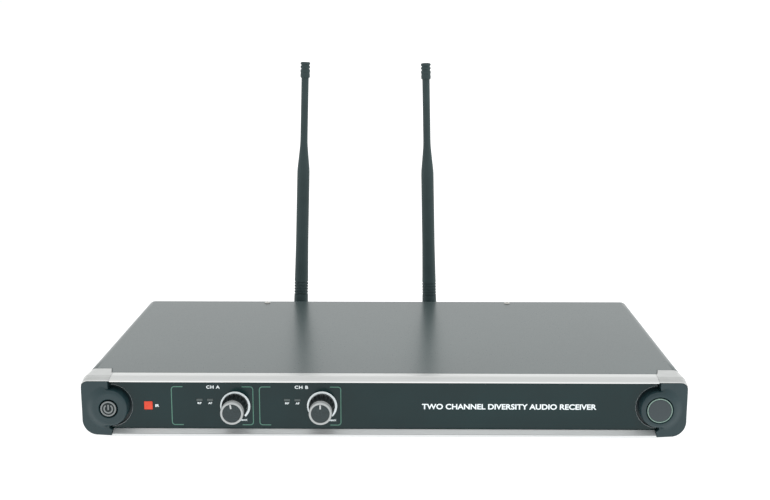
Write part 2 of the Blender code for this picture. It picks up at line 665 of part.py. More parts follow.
def make_antenna(channel):
    pivot = (ANTENNA_X[channel], ANTENNA_PIVOT_Y, CONTROL_Z)
    swivel = empty(f"antenna_{channel}_swivel", pivot, (0, ANTENNA_LEAN[channel], 0), CASE)
    socket = [
        (0, -0.0300),
        (0.0048, -0.0300),
        (0.0048, -0.0196),
        (0.0075, -0.0196),
        (0.0075, -0.0176),
        (0.0048, -0.0176),
        (0.0048, -0.0140),
        (0, -0.0140),
    ]
    fixed = (ANTENNA_X[channel], ANTENNA_PIVOT_Y, CONTROL_Z)
    smooth_round(turned("antenna_socket_" + channel, socket[::-1], NICKEL, CASE, fixed, "y", FINE))
    face = -0.0067
    nut = [
        (0, face),
        (0.0056, face),
        (0.0070, face - 0.0015),
        (0.0072, -0.0110),
        (0.0072, -0.0173),
        (0.0051, -0.0173),
        (0.0051, -0.0137),
        (0, -0.0137),
    ]
    name = "antenna_base_" + channel
    base = turned(name, nut, BLACK_PLASTIC, swivel, (0, 0, 0), "y", FINE)
    for side, label in ((-1, "left"), (1, "right")):
        inner, outer = sorted((side * 0.0036, side * KNUCKLE))
        arm = arc((0, 0), 0.0061, -90, 90, 8)
        arm = arm + [(-0.0078, 0.0052), (-0.0078, -0.0052)]
        join(base, outline(f"{name}_arm_{label}", arm, inner, outer, "side", None, swivel))
    cut(base, rod(name + "_bore", (0, 0, 0), "x", -0.010, 0.010, HINGE_HOLE, None, swivel, SMALL))
    pin_half = KNUCKLE - 0.0001
    rod("antenna_pin_" + channel, (0, 0, 0), "x", -pin_half, pin_half, HINGE_PIN, STEEL, swivel, SMALL)

    fold = empty(f"antenna_{channel}_fold", (0, 0, 0), (ANTENNA_TILT[channel], 0, 0), swivel)
    profile = [
        (0, WHIP_LENGTH),
        (0.0030, WHIP_LENGTH),
        (0.0041, WHIP_LENGTH - 0.0010),
        (0.0041, 0.2160),
        (0.0031, 0.2150),
        (0.0032, 0.1580),
        (0.0054, 0.1355),
        (0.0055, 0.0700),
        (0.0060, 0.0350),
        (0.0062, 0.0180),
        (0.0060, 0.0100),
        (0, 0.0100),
    ]
    whip = turned("antenna_whip_" + channel, profile, BLACK_SLEEVE, fold, (0, 0, 0), "z", FINE)
    tongue = arc((0, 0), 0.0058, 180, 360, 10) + [(0.0058, 0.0120), (-0.0058, 0.0120)]
    name = "antenna_tongue_" + channel
    join(whip, outline(name, tongue, -0.0032, 0.0032, "side", None, fold))
    cut(whip, rod(name + "_bore", (0, 0, 0), "x", -0.005, 0.005, HINGE_HOLE, None, fold, SMALL))


def make_xlr(channel):
    """A male three-pin output: flange, barrel behind the panel, and pins on the barrel's floor."""
    x = XLR_X[channel]
    name = "xlr_output_" + channel
    wide, tall = XLR_FLANGE
    flange_y = PANEL_Y + SHEET + GAP
    low = (x - wide, flange_y, CONTROL_Z - tall)
    high = (x + wide, flange_y + 0.0020, CONTROL_Z + tall)
    plate = box(name, low, high, NICKEL, CASE)
    centre = (x, 0, CONTROL_Z)
    join(plate, rod(name + "_barrel", centre, "y", 0.2120, flange_y + 0.001, XLR_BARREL, None, CASE, ROUND))
    cut(plate, rod(name + "_socket", centre, "y", 0.2175, 0.2350, XLR_SOCKET, None, CASE, ROUND))
    for i in range(3):
        angle = radians(90 + 120 * i)
        pin = (x + XLR_PIN_CIRCLE * cos(angle), 0, CONTROL_Z + XLR_PIN_CIRCLE * sin(angle))
        join(plate, rod(f"{name}_pin_{i}", pin, "y", 0.2160, 0.2300, XLR_PIN, None, CASE, SMALL))


def make_jack():
    centre = (JACK_X, 0, CONTROL_Z)
    low = (JACK_X - 0.007, 0.206, CONTROL_Z - 0.008)
    high = (JACK_X + 0.007, PANEL_Y - GAP, CONTROL_Z + 0.008)
    body = box("jack_output", low, high, BLACK_PLASTIC, CASE)
    outer = PANEL_Y + SHEET + GAP
    join(body, rod("jack_bushing", centre, "y", 0.227, outer + 0.001, 0.0047, None, CASE, FINE))
    join(body, rod("jack_nut", centre, "y", outer, outer + 0.0022, 0.0066, None, CASE, FINE))
    cut(body, rod("jack_bore", centre, "y", 0.2070, 0.2400, JACK_BORE, None, CASE, FINE))


def make_dc_inlet():
    centre = (DC_X, 0, CONTROL_Z)
    low = (DC_X - 0.006, 0.214, CONTROL_Z - 0.006)
    high = (DC_X + 0.006, PANEL_Y - GAP, CONTROL_Z + 0.006)
    body = box("dc_inlet", low, high, BLACK_PLASTIC, CASE)
    join(body, rod("dc_nose", centre, "y", 0.227, PANEL_Y + SHEET + 0.0006, 0.0045, None, CASE, FINE))
    cut(body, rod("dc_bore", centre, "y", 0.2190, 0.2400, DC_BORE, None, CASE, FINE))
    join(body, rod("dc_pin", centre, "y", 0.2180, 0.2285, DC_PIN, None, CASE, SMALL))


# ---------------------------------------------------------------- inside


def make_boards():
    low = (*BOARD_LOW, BOARD_Z)
    high = (*BOARD_HIGH, BOARD_Z + BOARD_THICK)
    box("main_board", low, high, BOARD_GREEN, CASE)
    back = CONTROL_BOARD_Y + BOARD_THICK
    box("control_board", (-0.201, CONTROL_BOARD_Y, 0.0055), (0.201, back, 0.0355), BOARD_GREEN, CASE)


def make_tuner(channel):
    x = ANTENNA_X[channel]
    low = (x - 0.024, 0.150, BOARD_TOP)
    high = (x + 0.024, 0.200, BOARD_TOP + 0.015)
    box("tuner_can_" + channel, low, high, TIN, CASE, 0.0008)
    route = []
    start, end = Vector((x, 0.2197, CONTROL_Z)), Vector((x, 0.2003, CONTROL_Z - 0.003))
    steps = 8
    for i in range(steps + 1):
        share = i / steps
        eased = share * share * (3 - 2 * share)
        point = start.lerp(end, share)
        point.z = start.z + (end.z - start.z) * eased
        route.append(point)
    cable("antenna_lead_" + channel, route, 0.0014, BLACK_RUBBER)


def cable(name, route, radius, finish):
    curve = bpy.data.curves.new(name, "CURVE")
    curve.dimensions = "3D"
    curve.bevel_depth = radius
    curve.bevel_resolution = 2
    curve.use_fill_caps = True
    spline = curve.splines.new("POLY")
    spline.points.add(len(route) - 1)
    for point, place_at in zip(spline.points, route):
        point.co = (*place_at, 1)
    obj = bpy.data.objects.new(name, curve)
    obj.parent = CASE
    PARTS.objects.link(obj)
    curve.materials.append(paint(name + "_" + finish[0], *finish[1:]))


def make_heatsink():
    fins, pitch, thick, base = 6, 0.0042, 0.0014, 0.003
    x = 0.160
    height = BOARD_TOP + 0.021
    points = [(x, BOARD_TOP)]
    for i in range(fins):
        left = x + i * pitch
        points += [(left, height), (left + thick, height)]
        if i < fins - 1:
            points += [(left + thick, BOARD_TOP + base), (left + pitch, BOARD_TOP + base)]
    points.append((x + (fins - 1) * pitch + thick, BOARD_TOP))
    outline("regulator_heatsink", points, 0.120, 0.155, "front", SATIN_ALUMINIUM, CASE)


def make_capacitors():
    profile = [
        (0, 0.0220),
        (0.0056, 0.0220),
        (0.0062, 0.0212),
        (0.0062, 0.0040),
        (0.0057, 0.0034),
        (0.0062, 0.0028),
        (0.0062, 0),
        (0, 0),
    ]
    for label, x in (("a", 0.112), ("b", 0.130)):
        obj = turned("capacitor_" + label, profile, BLACK_SLEEVE, CASE, (x, 0.130, BOARD_TOP), "z", FINE)
        smooth_round(obj)


def make_ribbon():
    """The flat cable from the back of the control board down to the front edge of the main board."""
    start = (CONTROL_BOARD_Y + BOARD_THICK + GAP, 0.0280)
    end = (0.0800, BOARD_TOP + 0.0008)
    line = [start, (start[0] + 0.010, 0.0284)]
    line += arc((0.0330, 0.0200), 0.0086, 70, 0, 6)
    line += arc((0.0530, 0.0180), 0.0105, 190, 262, 6)
    line.append(end)
    sheet("ribbon_cable", line[::-1], -0.014, 0.014, "side", 0.0008, RIBBON_GREY, CASE)


def build():
    make_top_cover()
    make_bottom_chassis()
    make_rear_panel()
    make_screws()
    make_feet()
    make_rails()
    make_corner_trim(-1, "left")
    make_corner_trim(1, "right")
    make_end_cap(-1, "left", BUTTON_BORE["power"])
    make_end_cap(1, "right", BUTTON_BORE["select"])
    make_fascia()
    make_lights()
    make_subframe()
    make_buttons()
    make_boards()
    make_jack()
    make_dc_inlet()
    make_heatsink()
    make_capacitors()
    make_ribbon()
    for channel in "ab":
        make_knob(channel)
        make_antenna(channel)
        make_xlr(channel)
        make_tuner(channel)


build()
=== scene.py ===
"""The looks of a two-channel wireless receiver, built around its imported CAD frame.

Lengths are in millimetres, measured from the rails' front lip (y) and from the case's underside (z).
put() turns a mesh into a piece in the frame's metres.
"""

import json
from math import atan2, copysign, cos, pi, radians, sin, sqrt, tan

import bmesh
import bpy
from mathutils import Matrix, Vector


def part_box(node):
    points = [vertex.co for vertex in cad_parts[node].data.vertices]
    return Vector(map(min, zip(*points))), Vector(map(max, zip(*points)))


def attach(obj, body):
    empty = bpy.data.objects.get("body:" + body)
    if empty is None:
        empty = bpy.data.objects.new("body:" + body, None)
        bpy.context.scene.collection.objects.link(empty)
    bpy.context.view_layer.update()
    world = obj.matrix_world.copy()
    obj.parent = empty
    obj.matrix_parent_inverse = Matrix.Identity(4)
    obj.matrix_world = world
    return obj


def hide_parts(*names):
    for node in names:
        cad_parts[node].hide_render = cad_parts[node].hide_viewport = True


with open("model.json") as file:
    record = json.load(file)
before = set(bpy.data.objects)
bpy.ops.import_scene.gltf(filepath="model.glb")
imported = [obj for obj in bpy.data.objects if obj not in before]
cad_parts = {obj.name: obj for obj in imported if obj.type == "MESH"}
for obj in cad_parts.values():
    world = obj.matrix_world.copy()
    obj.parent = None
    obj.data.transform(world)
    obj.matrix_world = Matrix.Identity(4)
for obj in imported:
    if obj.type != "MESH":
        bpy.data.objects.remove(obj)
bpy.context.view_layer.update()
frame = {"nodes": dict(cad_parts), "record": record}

MM = 0.001
SIDES = ((-1, "left"), (1, "right"))

# The case, as the CAD has it
HALF = 210.0
HEIGHT = 42.0
EDGE = 6.0  # radius of the case's long rounded edges
FRONT_EDGE = 4.5  # the corner trims are fuller at the front
PIVOT = (204.6, 35.2)  # inside each top corner: the trim and the cap are drawn round it
SHOULDER = (HALF - EDGE, HEIGHT - EDGE)
CONTROL_Z = 20.9
SHEET = 1.2
RAIL_HALF = 189.8
RAIL_DEPTH = 14.0
FASCIA_Y = 5.0
FASCIA_HALF = 189.9
TRIM_INNER_X = 189.9
TRIM_STEP_X = 191.2  # where the trim's rear edge leaves the rail's line
TRIM_REAR_X = 193.4
TRIM_DEPTH = 23.9
CAP_TOP = 39.9
CAP_INNER = 191.0
CAP_FOOT = 189.0
BOSS_X = 190.4
BOSS_RADIUS = 13.1
BOSS_PROUD = 3.0
BOSS_BLEND = (9.5, 17.0)  # where the boss starts to fall and where it meets the cap's face
FOOT_SLANT = 0.7  # how far out the foot of each end cap leans, and the bottom rail's ends with it
CUTOUT = (14.95, 15.45)  # radius of the fascia's round cut-outs, and of their bevelled edge
KNOB_HOLE = (4.3, 4.6)  # radius of the fascia's holes for the pot shafts, and of their bevelled edge
WINDOWS = ("ir_window", "rf_light_a", "af_light_a", "rf_light_b", "af_light_b")
PRINT = (FASCIA_Y - 0.05, FASCIA_Y + 0.02)  # ink stands 0.05 mm proud of the fascia
PANEL_BACK = 230.1
CONNECTOR_Y = PANEL_BACK + 0.3  # the connectors' flanges stand a little off the panel
XLR_SCREWS = ((-9.6, 12.2), (9.6, -12.2))  # from the middle of each output's flange
ANTENNA_LEAN = {"a": radians(1.8), "b": radians(-1.28)}
ANTENNA_TILT = {"a": 0.0, "b": radians(4.0)}
PIN_BORE = 1.35  # radius of the hole that an antenna's hinge pin runs in
COVER_SCREW = (104.5, 225.0)  # how far out and how far back the cover's two screws are

# The camera and the lights, in metres
CAMERA_AT = (0.01159, -0.91688, 0.28983)
CAMERA_PITCH = radians(10.904)
CAMERA_YAW = radians(0.75)
CAMERA_ROLL = radians(-0.037)
LENS = 56.1
SOFTBOX_OUT = 1.35  # how far out to the side each softbox stands
SOFTBOX_WIDE = 0.5

# Flat faces are shaded flat: those with more corners than this, which holes were cut from,
# and those with more square millimetres.
CURVED_FACE_CORNERS = 8
CURVED_FACE_AREA = 30.0

ORIGIN = Vector((0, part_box("front_top_rail")[0].y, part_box("top_cover")[1].z - HEIGHT * MM))
JOINTS = {joint["name"]: joint for joint in frame["record"]["behaviour"]["joints"]}

TURN = {
    "up": Matrix.Identity(4),
    "down": Matrix.Rotation(pi, 4, "X"),
    "front": Matrix.Rotation(radians(90), 4, "X"),
    "back": Matrix.Rotation(radians(-90), 4, "X"),
}
VIEWS = {
    "front": lambda a, b, depth: (a, depth, b),
    "side": lambda a, b, depth: (depth, a, b),
    "top": lambda a, b, depth: (a, b, depth),
}


def joint_spot(name):
    """A joint's place in case millimetres."""
    return (Vector(JOINTS[name]["pos_m"]) - ORIGIN) / MM


def node_spots(name):
    """A CAD node's lowest and highest corner in case millimetres."""
    return [(corner - ORIGIN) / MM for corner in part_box(name)]


def node_middle(name):
    low, high = node_spots(name)
    return (low + high) / 2


# ---- materials


def add(tree, kind, **settings):
    made = tree.nodes.new(kind)
    for key, value in settings.items():
        setattr(made, key, value)
    return made


def set_inputs(node, **values):
    """An input's name is given with an underscore for each space."""
    for name, value in values.items():
        node.inputs[name.replace("_", " ")].default_value = value


def noise(tree, vector, scale, detail=3.0):
    made = add(tree, "ShaderNodeTexNoise")
    set_inputs(made, Scale=scale, Detail=detail)
    tree.links.new(vector, made.inputs["Vector"])
    return made.outputs["Fac"]


def ranged(tree, value, low, high):
    made = add(tree, "ShaderNodeMapRange")
    set_inputs(made, From_Min=0.3, From_Max=0.7, To_Min=low, To_Max=high)
    tree.links.new(value, made.inputs["Value"])
    return made.outputs["Result"]


def two_colours(tree, value, first, second):
    made = add(tree, "ShaderNodeMix", data_type="RGBA")
    set_inputs(made, A=(*first, 1), B=(*second, 1))
    tree.links.new(value, made.inputs["Factor"])
    return made.outputs["Result"]


def finish(
    name, slot, colour, roughness, metallic=0.0, mottle=0.06, cloud=40.0, grain=1500.0,
    stretch=(1, 1, 1), relief=0.1, height=0.02, uneven=0.05, **sockets
):
    """A procedural surface: mottled colour, uneven gloss and a fine relief, height in millimetres."""
    material = bpy.data.materials.new(name)
    material.use_nodes = True
    material["slot"] = slot
    tree = material.node_tree
    shader = tree.nodes["Principled BSDF"]
    set_inputs(shader, Metallic=metallic, **sockets)
    space = add(tree, "ShaderNodeTexCoord").outputs["Object"]
    mapping = add(tree, "ShaderNodeMapping")
    set_inputs(mapping, Scale=stretch)
    tree.links.new(space, mapping.inputs["Vector"])
    vector = mapping.outputs["Vector"]
    blotches = noise(tree, vector, cloud)
    fine = noise(tree, vector, grain, 4.0)
    darker = [c * (1 - mottle) for c in colour]
    lighter = [min(c * (1 + mottle), 1.0) for c in colour]
    spread = ranged(tree, blotches, 0.0, 1.0)
    tree.links.new(two_colours(tree, spread, darker, lighter), shader.inputs["Base Color"])
    gloss = ranged(tree, fine, max(roughness - uneven, 0.02), min(roughness + uneven, 1.0))
    tree.links.new(gloss, shader.inputs["Roughness"])
    bump = add(tree, "ShaderNodeBump")
    set_inputs(bump, Strength=relief, Distance=height * MM)
    tree.links.new(fine, bump.inputs["Height"])
    tree.links.new(bump.outputs["Normal"], shader.inputs["Normal"])
    return material


def circuit_board():
    """Solder mask over copper tracks: the tracks show as a slightly lighter net of lines."""
    material = finish("solder_mask", "circuit_board", (0.012, 0.12, 0.05), 0.35, height=0.03)
    tree = material.node_tree
    shader = tree.nodes["Principled BSDF"]
    tracks = add(tree, "ShaderNodeTexBrick")
    set_inputs(tracks, Scale=260.0, Mortar_Size=0.06, Mortar=(0.03, 0.2, 0.09, 1))
    set_inputs(tracks, Color1=(0.012, 0.12, 0.05, 1), Color2=(0.010, 0.10, 0.045, 1))
    tree.links.new(add(tree, "ShaderNodeTexCoord").outputs["Object"], tracks.inputs["Vector"])
    tree.links.new(tracks.outputs["Color"], shader.inputs["Base Color"])
    return material


DRAWN = dict(mottle=0.04, cloud=120.0, grain=2600.0, stretch=(0.02, 1, 1), height=0.010, uneven=0.06)
TURNED = dict(mottle=0.05, cloud=200.0, grain=3000.0)

COVER_PAINT = finish(
    "cover_paint", "cover_paint", (0.068, 0.093, 0.094), 0.30, mottle=0.05, cloud=9.0, grain=900.0,
    relief=0.12, height=0.015, uneven=0.03, Specular_IOR_Level=0.95
)
PANEL_PAINT = finish("panel_paint", "panel_paint", (0.030, 0.036, 0.038), 0.38, grain=1200.0, relief=0.2)
FASCIA_PAINT = finish(
    "fascia_paint", "fascia_paint", (0.0035, 0.022, 0.024), 0.16, mottle=0.10, cloud=25.0, grain=1400.0,
    relief=0.04, Specular_IOR_Level=0.34
)
ALUMINIUM = finish("satin_aluminium", "satin_aluminium", (0.80, 0.81, 0.80), 0.34, 1.0, **DRAWN)
TRIM_ALUMINIUM = finish(
    "trim_aluminium", "satin_aluminium", (0.64, 0.65, 0.64), 0.34, 1.0, mottle=0.04, cloud=120.0,
    grain=2600.0, relief=0.12
)
SLOPE_ALUMINIUM = finish("slope_aluminium", "satin_aluminium", (0.76, 0.78, 0.78), 0.38, 0.55, **DRAWN)
TURNED_ALUMINIUM = finish("turned_aluminium", "satin_aluminium", (0.50, 0.52, 0.52), 0.28, 1.0, **TURNED)
CAP_PLASTIC = finish(
    "cap_plastic", "black_plastic", (0.012, 0.035, 0.041), 0.34, mottle=0.08, cloud=30.0, grain=2200.0
)
BLACK_PLASTIC = finish("black_plastic", "black_plastic", (0.020, 0.023, 0.024), 0.42, grain=2500.0)
BUTTON_PLASTIC = finish("button_plastic", "button_plastic", (0.036, 0.052, 0.058), 0.36, grain=2600.0)
BUTTON_DARK = finish(
    "button_dark", "button_plastic", (0.007, 0.016, 0.018), 0.34, grain=2600.0, Specular_IOR_Level=0.3
)
BUTTON_RING = finish("button_ring", "button_plastic", (0.22, 0.24, 0.24), 0.36, 0.3, grain=2400.0)
GREEN_RING = finish("green_ring", "green_ring", (0.26, 0.38, 0.33), 0.30, grain=1800.0)
# A lighter grey of the fascia paint for the cut-outs' bevels: a painted highlight, given all round.
CUT_EDGE_HIGHLIGHT = finish("cut_edge_highlight", "fascia_paint", (0.30, 0.33, 0.34), 0.30, grain=2600.0)
SMOKED_LENS = finish("smoked_lens", "smoked_lens", (0.070, 0.095, 0.095), 0.18, grain=1800.0)
RED_LENS = finish(
    "red_lens", "red_lens", (0.80, 0.075, 0.035), 0.22, mottle=0.08, cloud=300.0,
    Specular_IOR_Level=0.35
)
KNOB_RUBBER = finish("knob_rubber", "knob_rubber", (0.009, 0.012, 0.013), 0.38, grain=2600.0, relief=0.2)
KNOB_BAND = finish("knob_band", "satin_aluminium", (0.46, 0.48, 0.48), 0.40, 0.45, **TURNED)
KNOB_FACE = finish(
    "knob_face", "satin_aluminium", (0.022, 0.036, 0.039), 0.45, 0.1, mottle=0.35, cloud=1400.0,
    grain=3500.0, relief=0.5, height=0.05
)
TIN = finish("tinned_steel", "tinned_steel", (0.66, 0.66, 0.64), 0.34, 1.0, mottle=0.08, cloud=90.0)
ZINC = finish(
    "zinc_steel", "zinc_steel", (0.52, 0.53, 0.54), 0.42, 0.9, mottle=0.14, cloud=160.0, grain=900.0,
    relief=0.15
)
BOARD = circuit_board()
SLEEVE = finish("black_sleeve", "black_sleeve", (0.02, 0.021, 0.023), 0.5, grain=1800.0)
RIBBON = finish(
    "ribbon_grey", "ribbon_grey", (0.42, 0.43, 0.44), 0.55, mottle=0.12, cloud=800.0, stretch=(1, 0.02, 0.02)
)
NICKEL = finish(
    "nickel", "nickel", (0.62, 0.61, 0.58), 0.24, 1.0, mottle=0.05, cloud=150.0, grain=1800.0, relief=0.08
)
GOLD = finish(
    "gold_pins", "nickel", (0.83, 0.62, 0.25), 0.22, 1.0, mottle=0.05, cloud=300.0, grain=2500.0,
    relief=0.05
)
ANTENNA_PLASTIC = finish(
    "antenna_plastic", "antenna_plastic", (0.040, 0.061, 0.063), 0.5, mottle=0.08, cloud=60.0,
    grain=2400.0, relief=0.12, Specular_IOR_Level=0.15
)
FOOT_RUBBER = finish("foot_rubber", "foot_rubber", (0.016, 0.017, 0.018), 0.75, grain=1600.0, relief=0.3)
# The white ink glows faintly through its emission: painted light that makes the print read brighter.
GLOWING_WHITE_INK = finish(
    "glowing_white_ink", "fascia_paint", (0.86, 0.93, 0.95), 0.5, mottle=0.03, grain=3500.0,
    Emission_Color=(0.86, 0.93, 0.95, 1), Emission_Strength=0.12
)
GREEN_INK = finish("green_ink", "fascia_paint", (0.092, 0.240, 0.180), 0.45, mottle=0.10, grain=3500.0)

DRESSED_NODES = (
    (PANEL_PAINT, ["rear_panel"]),
    (ZINC, ["bottom_chassis", "front_subframe"]),
    (BOARD, ["control_board", "main_board"]),
    (TIN, ["tuner_can_a", "tuner_can_b", "pot_a", "pot_b", "pot_shaft_a", "pot_shaft_b"]),
    (TIN, ["antenna_pin_a", "antenna_pin_b"]),
    (SLEEVE, ["antenna_lead_a", "antenna_lead_b", "capacitor_a", "capacitor_b"]),
    (ALUMINIUM, ["regulator_heatsink"]),
    (RIBBON, ["ribbon_cable"]),
    (BLACK_PLASTIC, ["power_switch", "select_switch"]),
)


def dress_cad_nodes():
    for material, names in DRESSED_NODES:
        for name in names:
            mesh = frame["nodes"][name].data
            mesh.materials.clear()
            mesh.materials.append(material)


# ---- shapes


def rounded(corners, steps=4):
    """An outline's points; a corner given with a third number is rounded to that radius."""
    points = []
    for i, corner in enumerate(corners):
        here = Vector(corner[:2])
        if len(corner) == 2:
            points.append(tuple(here))
            continue
        radius = corner[2]
        before = (Vector(corners[i - 1][:2]) - here).normalized()
        after = (Vector(corners[(i + 1) % len(corners)][:2]) - here).normalized()
        half = before.angle(after) / 2
        centre = here + (before + after).normalized() * radius / sin(half)
        start = here + before * radius / tan(half) - centre
        end = here + after * radius / tan(half) - centre
        first = atan2(start.y, start.x)
        swing = atan2(start.x * end.y - start.y * end.x, start.dot(end))
        for step in range(steps + 1):
            angle = first + swing * step / steps
            points.append((centre.x + radius * cos(angle), centre.y + radius * sin(angle)))
    return points


def arc(centre, radius, start_deg, end_deg, steps):
    """Points along an arc, both its ends among them."""
    points = []
    for i in range(steps + 1):
        angle = radians(start_deg + (end_deg - start_deg) * i / steps)
        points.append((centre[0] + radius * cos(angle), centre[1] + radius * sin(angle)))
    return points


def mirrored(points, side):
    return [(side * point[0], *point[1:]) for point in points]


def prism(outline, low, high, view):
    """A closed outline given thickness, square to the view that it is drawn in."""
    bm = bmesh.new()
    place = VIEWS[view]
    near = [bm.verts.new(place(a, b, low)) for a, b in outline]
    far = [bm.verts.new(place(a, b, high)) for a, b in outline]
    bm.faces.new(near)
    bm.faces.new(far[::-1])
    for i in range(len(outline)):
        bm.faces.new((near[i - 1], near[i], far[i], far[i - 1]))
    bmesh.ops.recalc_face_normals(bm, faces=bm.faces)
    return bm


def block(low, high, soft=0.0, segments=2):
    corners = [(low[0], low[1]), (high[0], low[1]), (high[0], high[1]), (low[0], high[1])]
    bm = prism(corners, low[2], high[2], "top")
    if soft:
        soften(bm, soft, segments)
    return bm


def lathe(profile, sides=48, closed=False, wave=None):
    """A solid of revolution about Z from (radius, height) pairs; wave shifts a row's radius by angle."""
    bm = bmesh.new()
    rings = []
    for row, (radius, height) in enumerate(profile):
        if radius == 0:
            rings.append([bm.verts.new((0, 0, height))])
            continue
        ring = []
        for i in range(sides):
            angle = 2 * pi * i / sides
            reach = radius + (wave(angle, row) if wave else 0.0)
            ring.append(bm.verts.new((reach * cos(angle), reach * sin(angle), height)))
        rings.append(ring)
    pairs = list(zip(rings, rings[1:]))
    if closed:
        pairs.append((rings[-1], rings[0]))
    for first, second in pairs:
        for i in range(sides):
            corners = [first[i % len(first)], first[(i + 1) % len(first)]]
            corners += [second[(i + 1) % len(second)], second[i % len(second)]]
            bm.faces.new(list(dict.fromkeys(corners)))
    bmesh.ops.recalc_face_normals(bm, faces=bm.faces)
    return bm


def cylinder(radius, low, high, sides=24):
    return lathe([(0, low), (radius, low), (radius, high), (0, high)], sides)


def tube_ring(inner, outer, low, high, soft=0.2, sides=64):
    """A flat ring with its two front edges rounded."""
    profile = [(inner, low), (inner, high - soft), (inner + soft, high), (outer - soft, high)]
    return lathe(profile + [(outer, high - soft), (outer, low)], sides, True)


def soften(bm, width, segments=2, angle=35):
    """Rounds every edge sharper than angle."""
    edges = [e for e in bm.edges if len(e.link_faces) == 2 and e.calc_face_angle(0) > radians(angle)]
    bmesh.ops.bevel(
        bm, geom=edges, offset=width, segments=segments, profile=0.5, affect="EDGES", clamp_overlap=True
    )


def ribbon(route, width, low, high):
    """A flat printed line of even width along a route in the front view."""
    left, right = [], []
    for i, point in enumerate(route):
        before = Vector(route[max(i - 1, 0)])
        after = Vector(route[min(i + 1, len(route) - 1)])
        across = (after - before).normalized().orthogonal() * width / 2
        left.append(tuple(Vector(point) + across))
        right.append(tuple(Vector(point) - across))
    return prism(left + right[::-1], low, high, "front")


def moved(bm, matrix):
    bmesh.ops.transform(bm, matrix=matrix, verts=bm.verts)
    return bm


def shifted(bm, x=0.0, y=0.0, z=0.0):
    return moved(bm, Matrix.Translation((x, y, z)))


def turned_back(profile, sides=48):
    """A solid of revolution whose axis points out of the rear panel."""
    return moved(lathe(profile, sides), TURN["back"])


def cut_along(bm, x):
    """Splits a mesh's faces along a plane square to X, and keeps both sides."""
    geometry = bm.verts[:] + bm.edges[:] + bm.faces[:]
    bmesh.ops.bisect_plane(bm, geom=geometry, plane_co=(x, 0, 0), plane_no=(1, 0, 0))


def merged(*parts):
    """Several meshes as one."""
    whole = bmesh.new()
    for part in parts:
        mesh = bpy.data.meshes.new("part")
        part.to_mesh(mesh)
        part.free()
        whole.from_mesh(mesh)
        bpy.data.meshes.remove(mesh)
    return whole


def boolean(bm, tools, operation="DIFFERENCE"):
    """Cuts the tools from a solid, or joins them to it, and returns the result."""
    helpers = []
    for part in [bm, *tools]:
        mesh = bpy.data.meshes.new("helper")
        part.to_mesh(mesh)
        part.free()
        helper = bpy.data.objects.new("helper", mesh)
        bpy.context.collection.objects.link(helper)
        helpers.append(helper)
    base = helpers[0]
    for helper in helpers[1:]:
        modifier = base.modifiers.new("boolean", "BOOLEAN")
        modifier.operation = operation
        modifier.object = helper
        modifier.solver = "EXACT"
    result = bmesh.new()
    result.from_object(base, bpy.context.evaluated_depsgraph_get())
    for helper in helpers:
        mesh = helper.data
        bpy.data.objects.remove(helper)
        bpy.data.meshes.remove(mesh)
    return result


def put(name, bm, material, body="case", replaces=(), at=(0, 0, 0), turn=Matrix.Identity(4), smooth=35):
    """Makes a piece of a mesh: at is in case millimetres, and turn is about that point."""
    mesh = bpy.data.meshes.new(name)
    bmesh.ops.remove_doubles(bm, verts=bm.verts, dist=0.0005)
    bm.to_mesh(mesh)
    bm.free()
    mesh.transform(Matrix.Scale(MM, 4))
    mesh.shade_smooth()
    mesh.set_sharp_from_angle(angle=radians(smooth))
    for face in mesh.polygons:
        small = face.area < CURVED_FACE_AREA * MM**2
        face.use_smooth = small and face.loop_total <= CURVED_FACE_CORNERS
    mesh.materials.append(material)
    obj = bpy.data.objects.new(name, mesh)
    bpy.context.collection.objects.link(obj)
    obj.matrix_world = Matrix.Translation(ORIGIN + Vector(at) * MM) @ turn
    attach(obj, body)
    if replaces:
        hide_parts(*replaces)


# ---- case


def make_cover():
    """The bent steel cover: its front edge steps back behind the corner trims."""
    front, back = RAIL_DEPTH + 0.3, 231.0
    stations = [(HALF, 0.5), (HALF, 12.0), (HALF, 24.0)] + arc(SHOULDER, EDGE, 0, 90, 12)
    edge_front, edge_rear = TRIM_STEP_X - 0.3, TRIM_REAR_X - 0.3
    stations += [(x, HEIGHT) for x in (198.0, edge_rear, edge_front, 150.0, COVER_SCREW[0], 50.0, 0.0)]
    stations += mirrored(stations[:-1], -1)[::-1]
    bm = bmesh.new()
    rows = 9
    grid = []
    for x, z in stations:
        share = min(max((abs(x) - edge_front) / (edge_rear - edge_front), 0), 1)
        start = front + share * (TRIM_DEPTH + 0.3 - front)
        grid.append([bm.verts.new((x, start + (back - start) * i / rows, z)) for i in range(rows + 1)])
    for first, second in zip(grid, grid[1:]):
        for i in range(rows):
            bm.faces.new((first[i], first[i + 1], second[i + 1], second[i]))
    bmesh.ops.recalc_face_normals(bm, faces=bm.faces)
    top = max(bm.faces, key=lambda face: face.calc_center_median().z)
    if top.normal.z < 0:
        bmesh.ops.reverse_faces(bm, faces=bm.faces)
    outer = list(bm.faces)
    bmesh.ops.solidify(bm, geom=outer, thickness=SHEET)
    holes = []
    for side in (-1, 1):
        holes.append(shifted(cylinder(1.8, -4, 4), side * COVER_SCREW[0], COVER_SCREW[1], HEIGHT))
    bm = boolean(bm, holes)
    soften(bm, 0.18, 2, 50)
    put("cover_shell", bm, COVER_PAINT, replaces=["top_cover"])


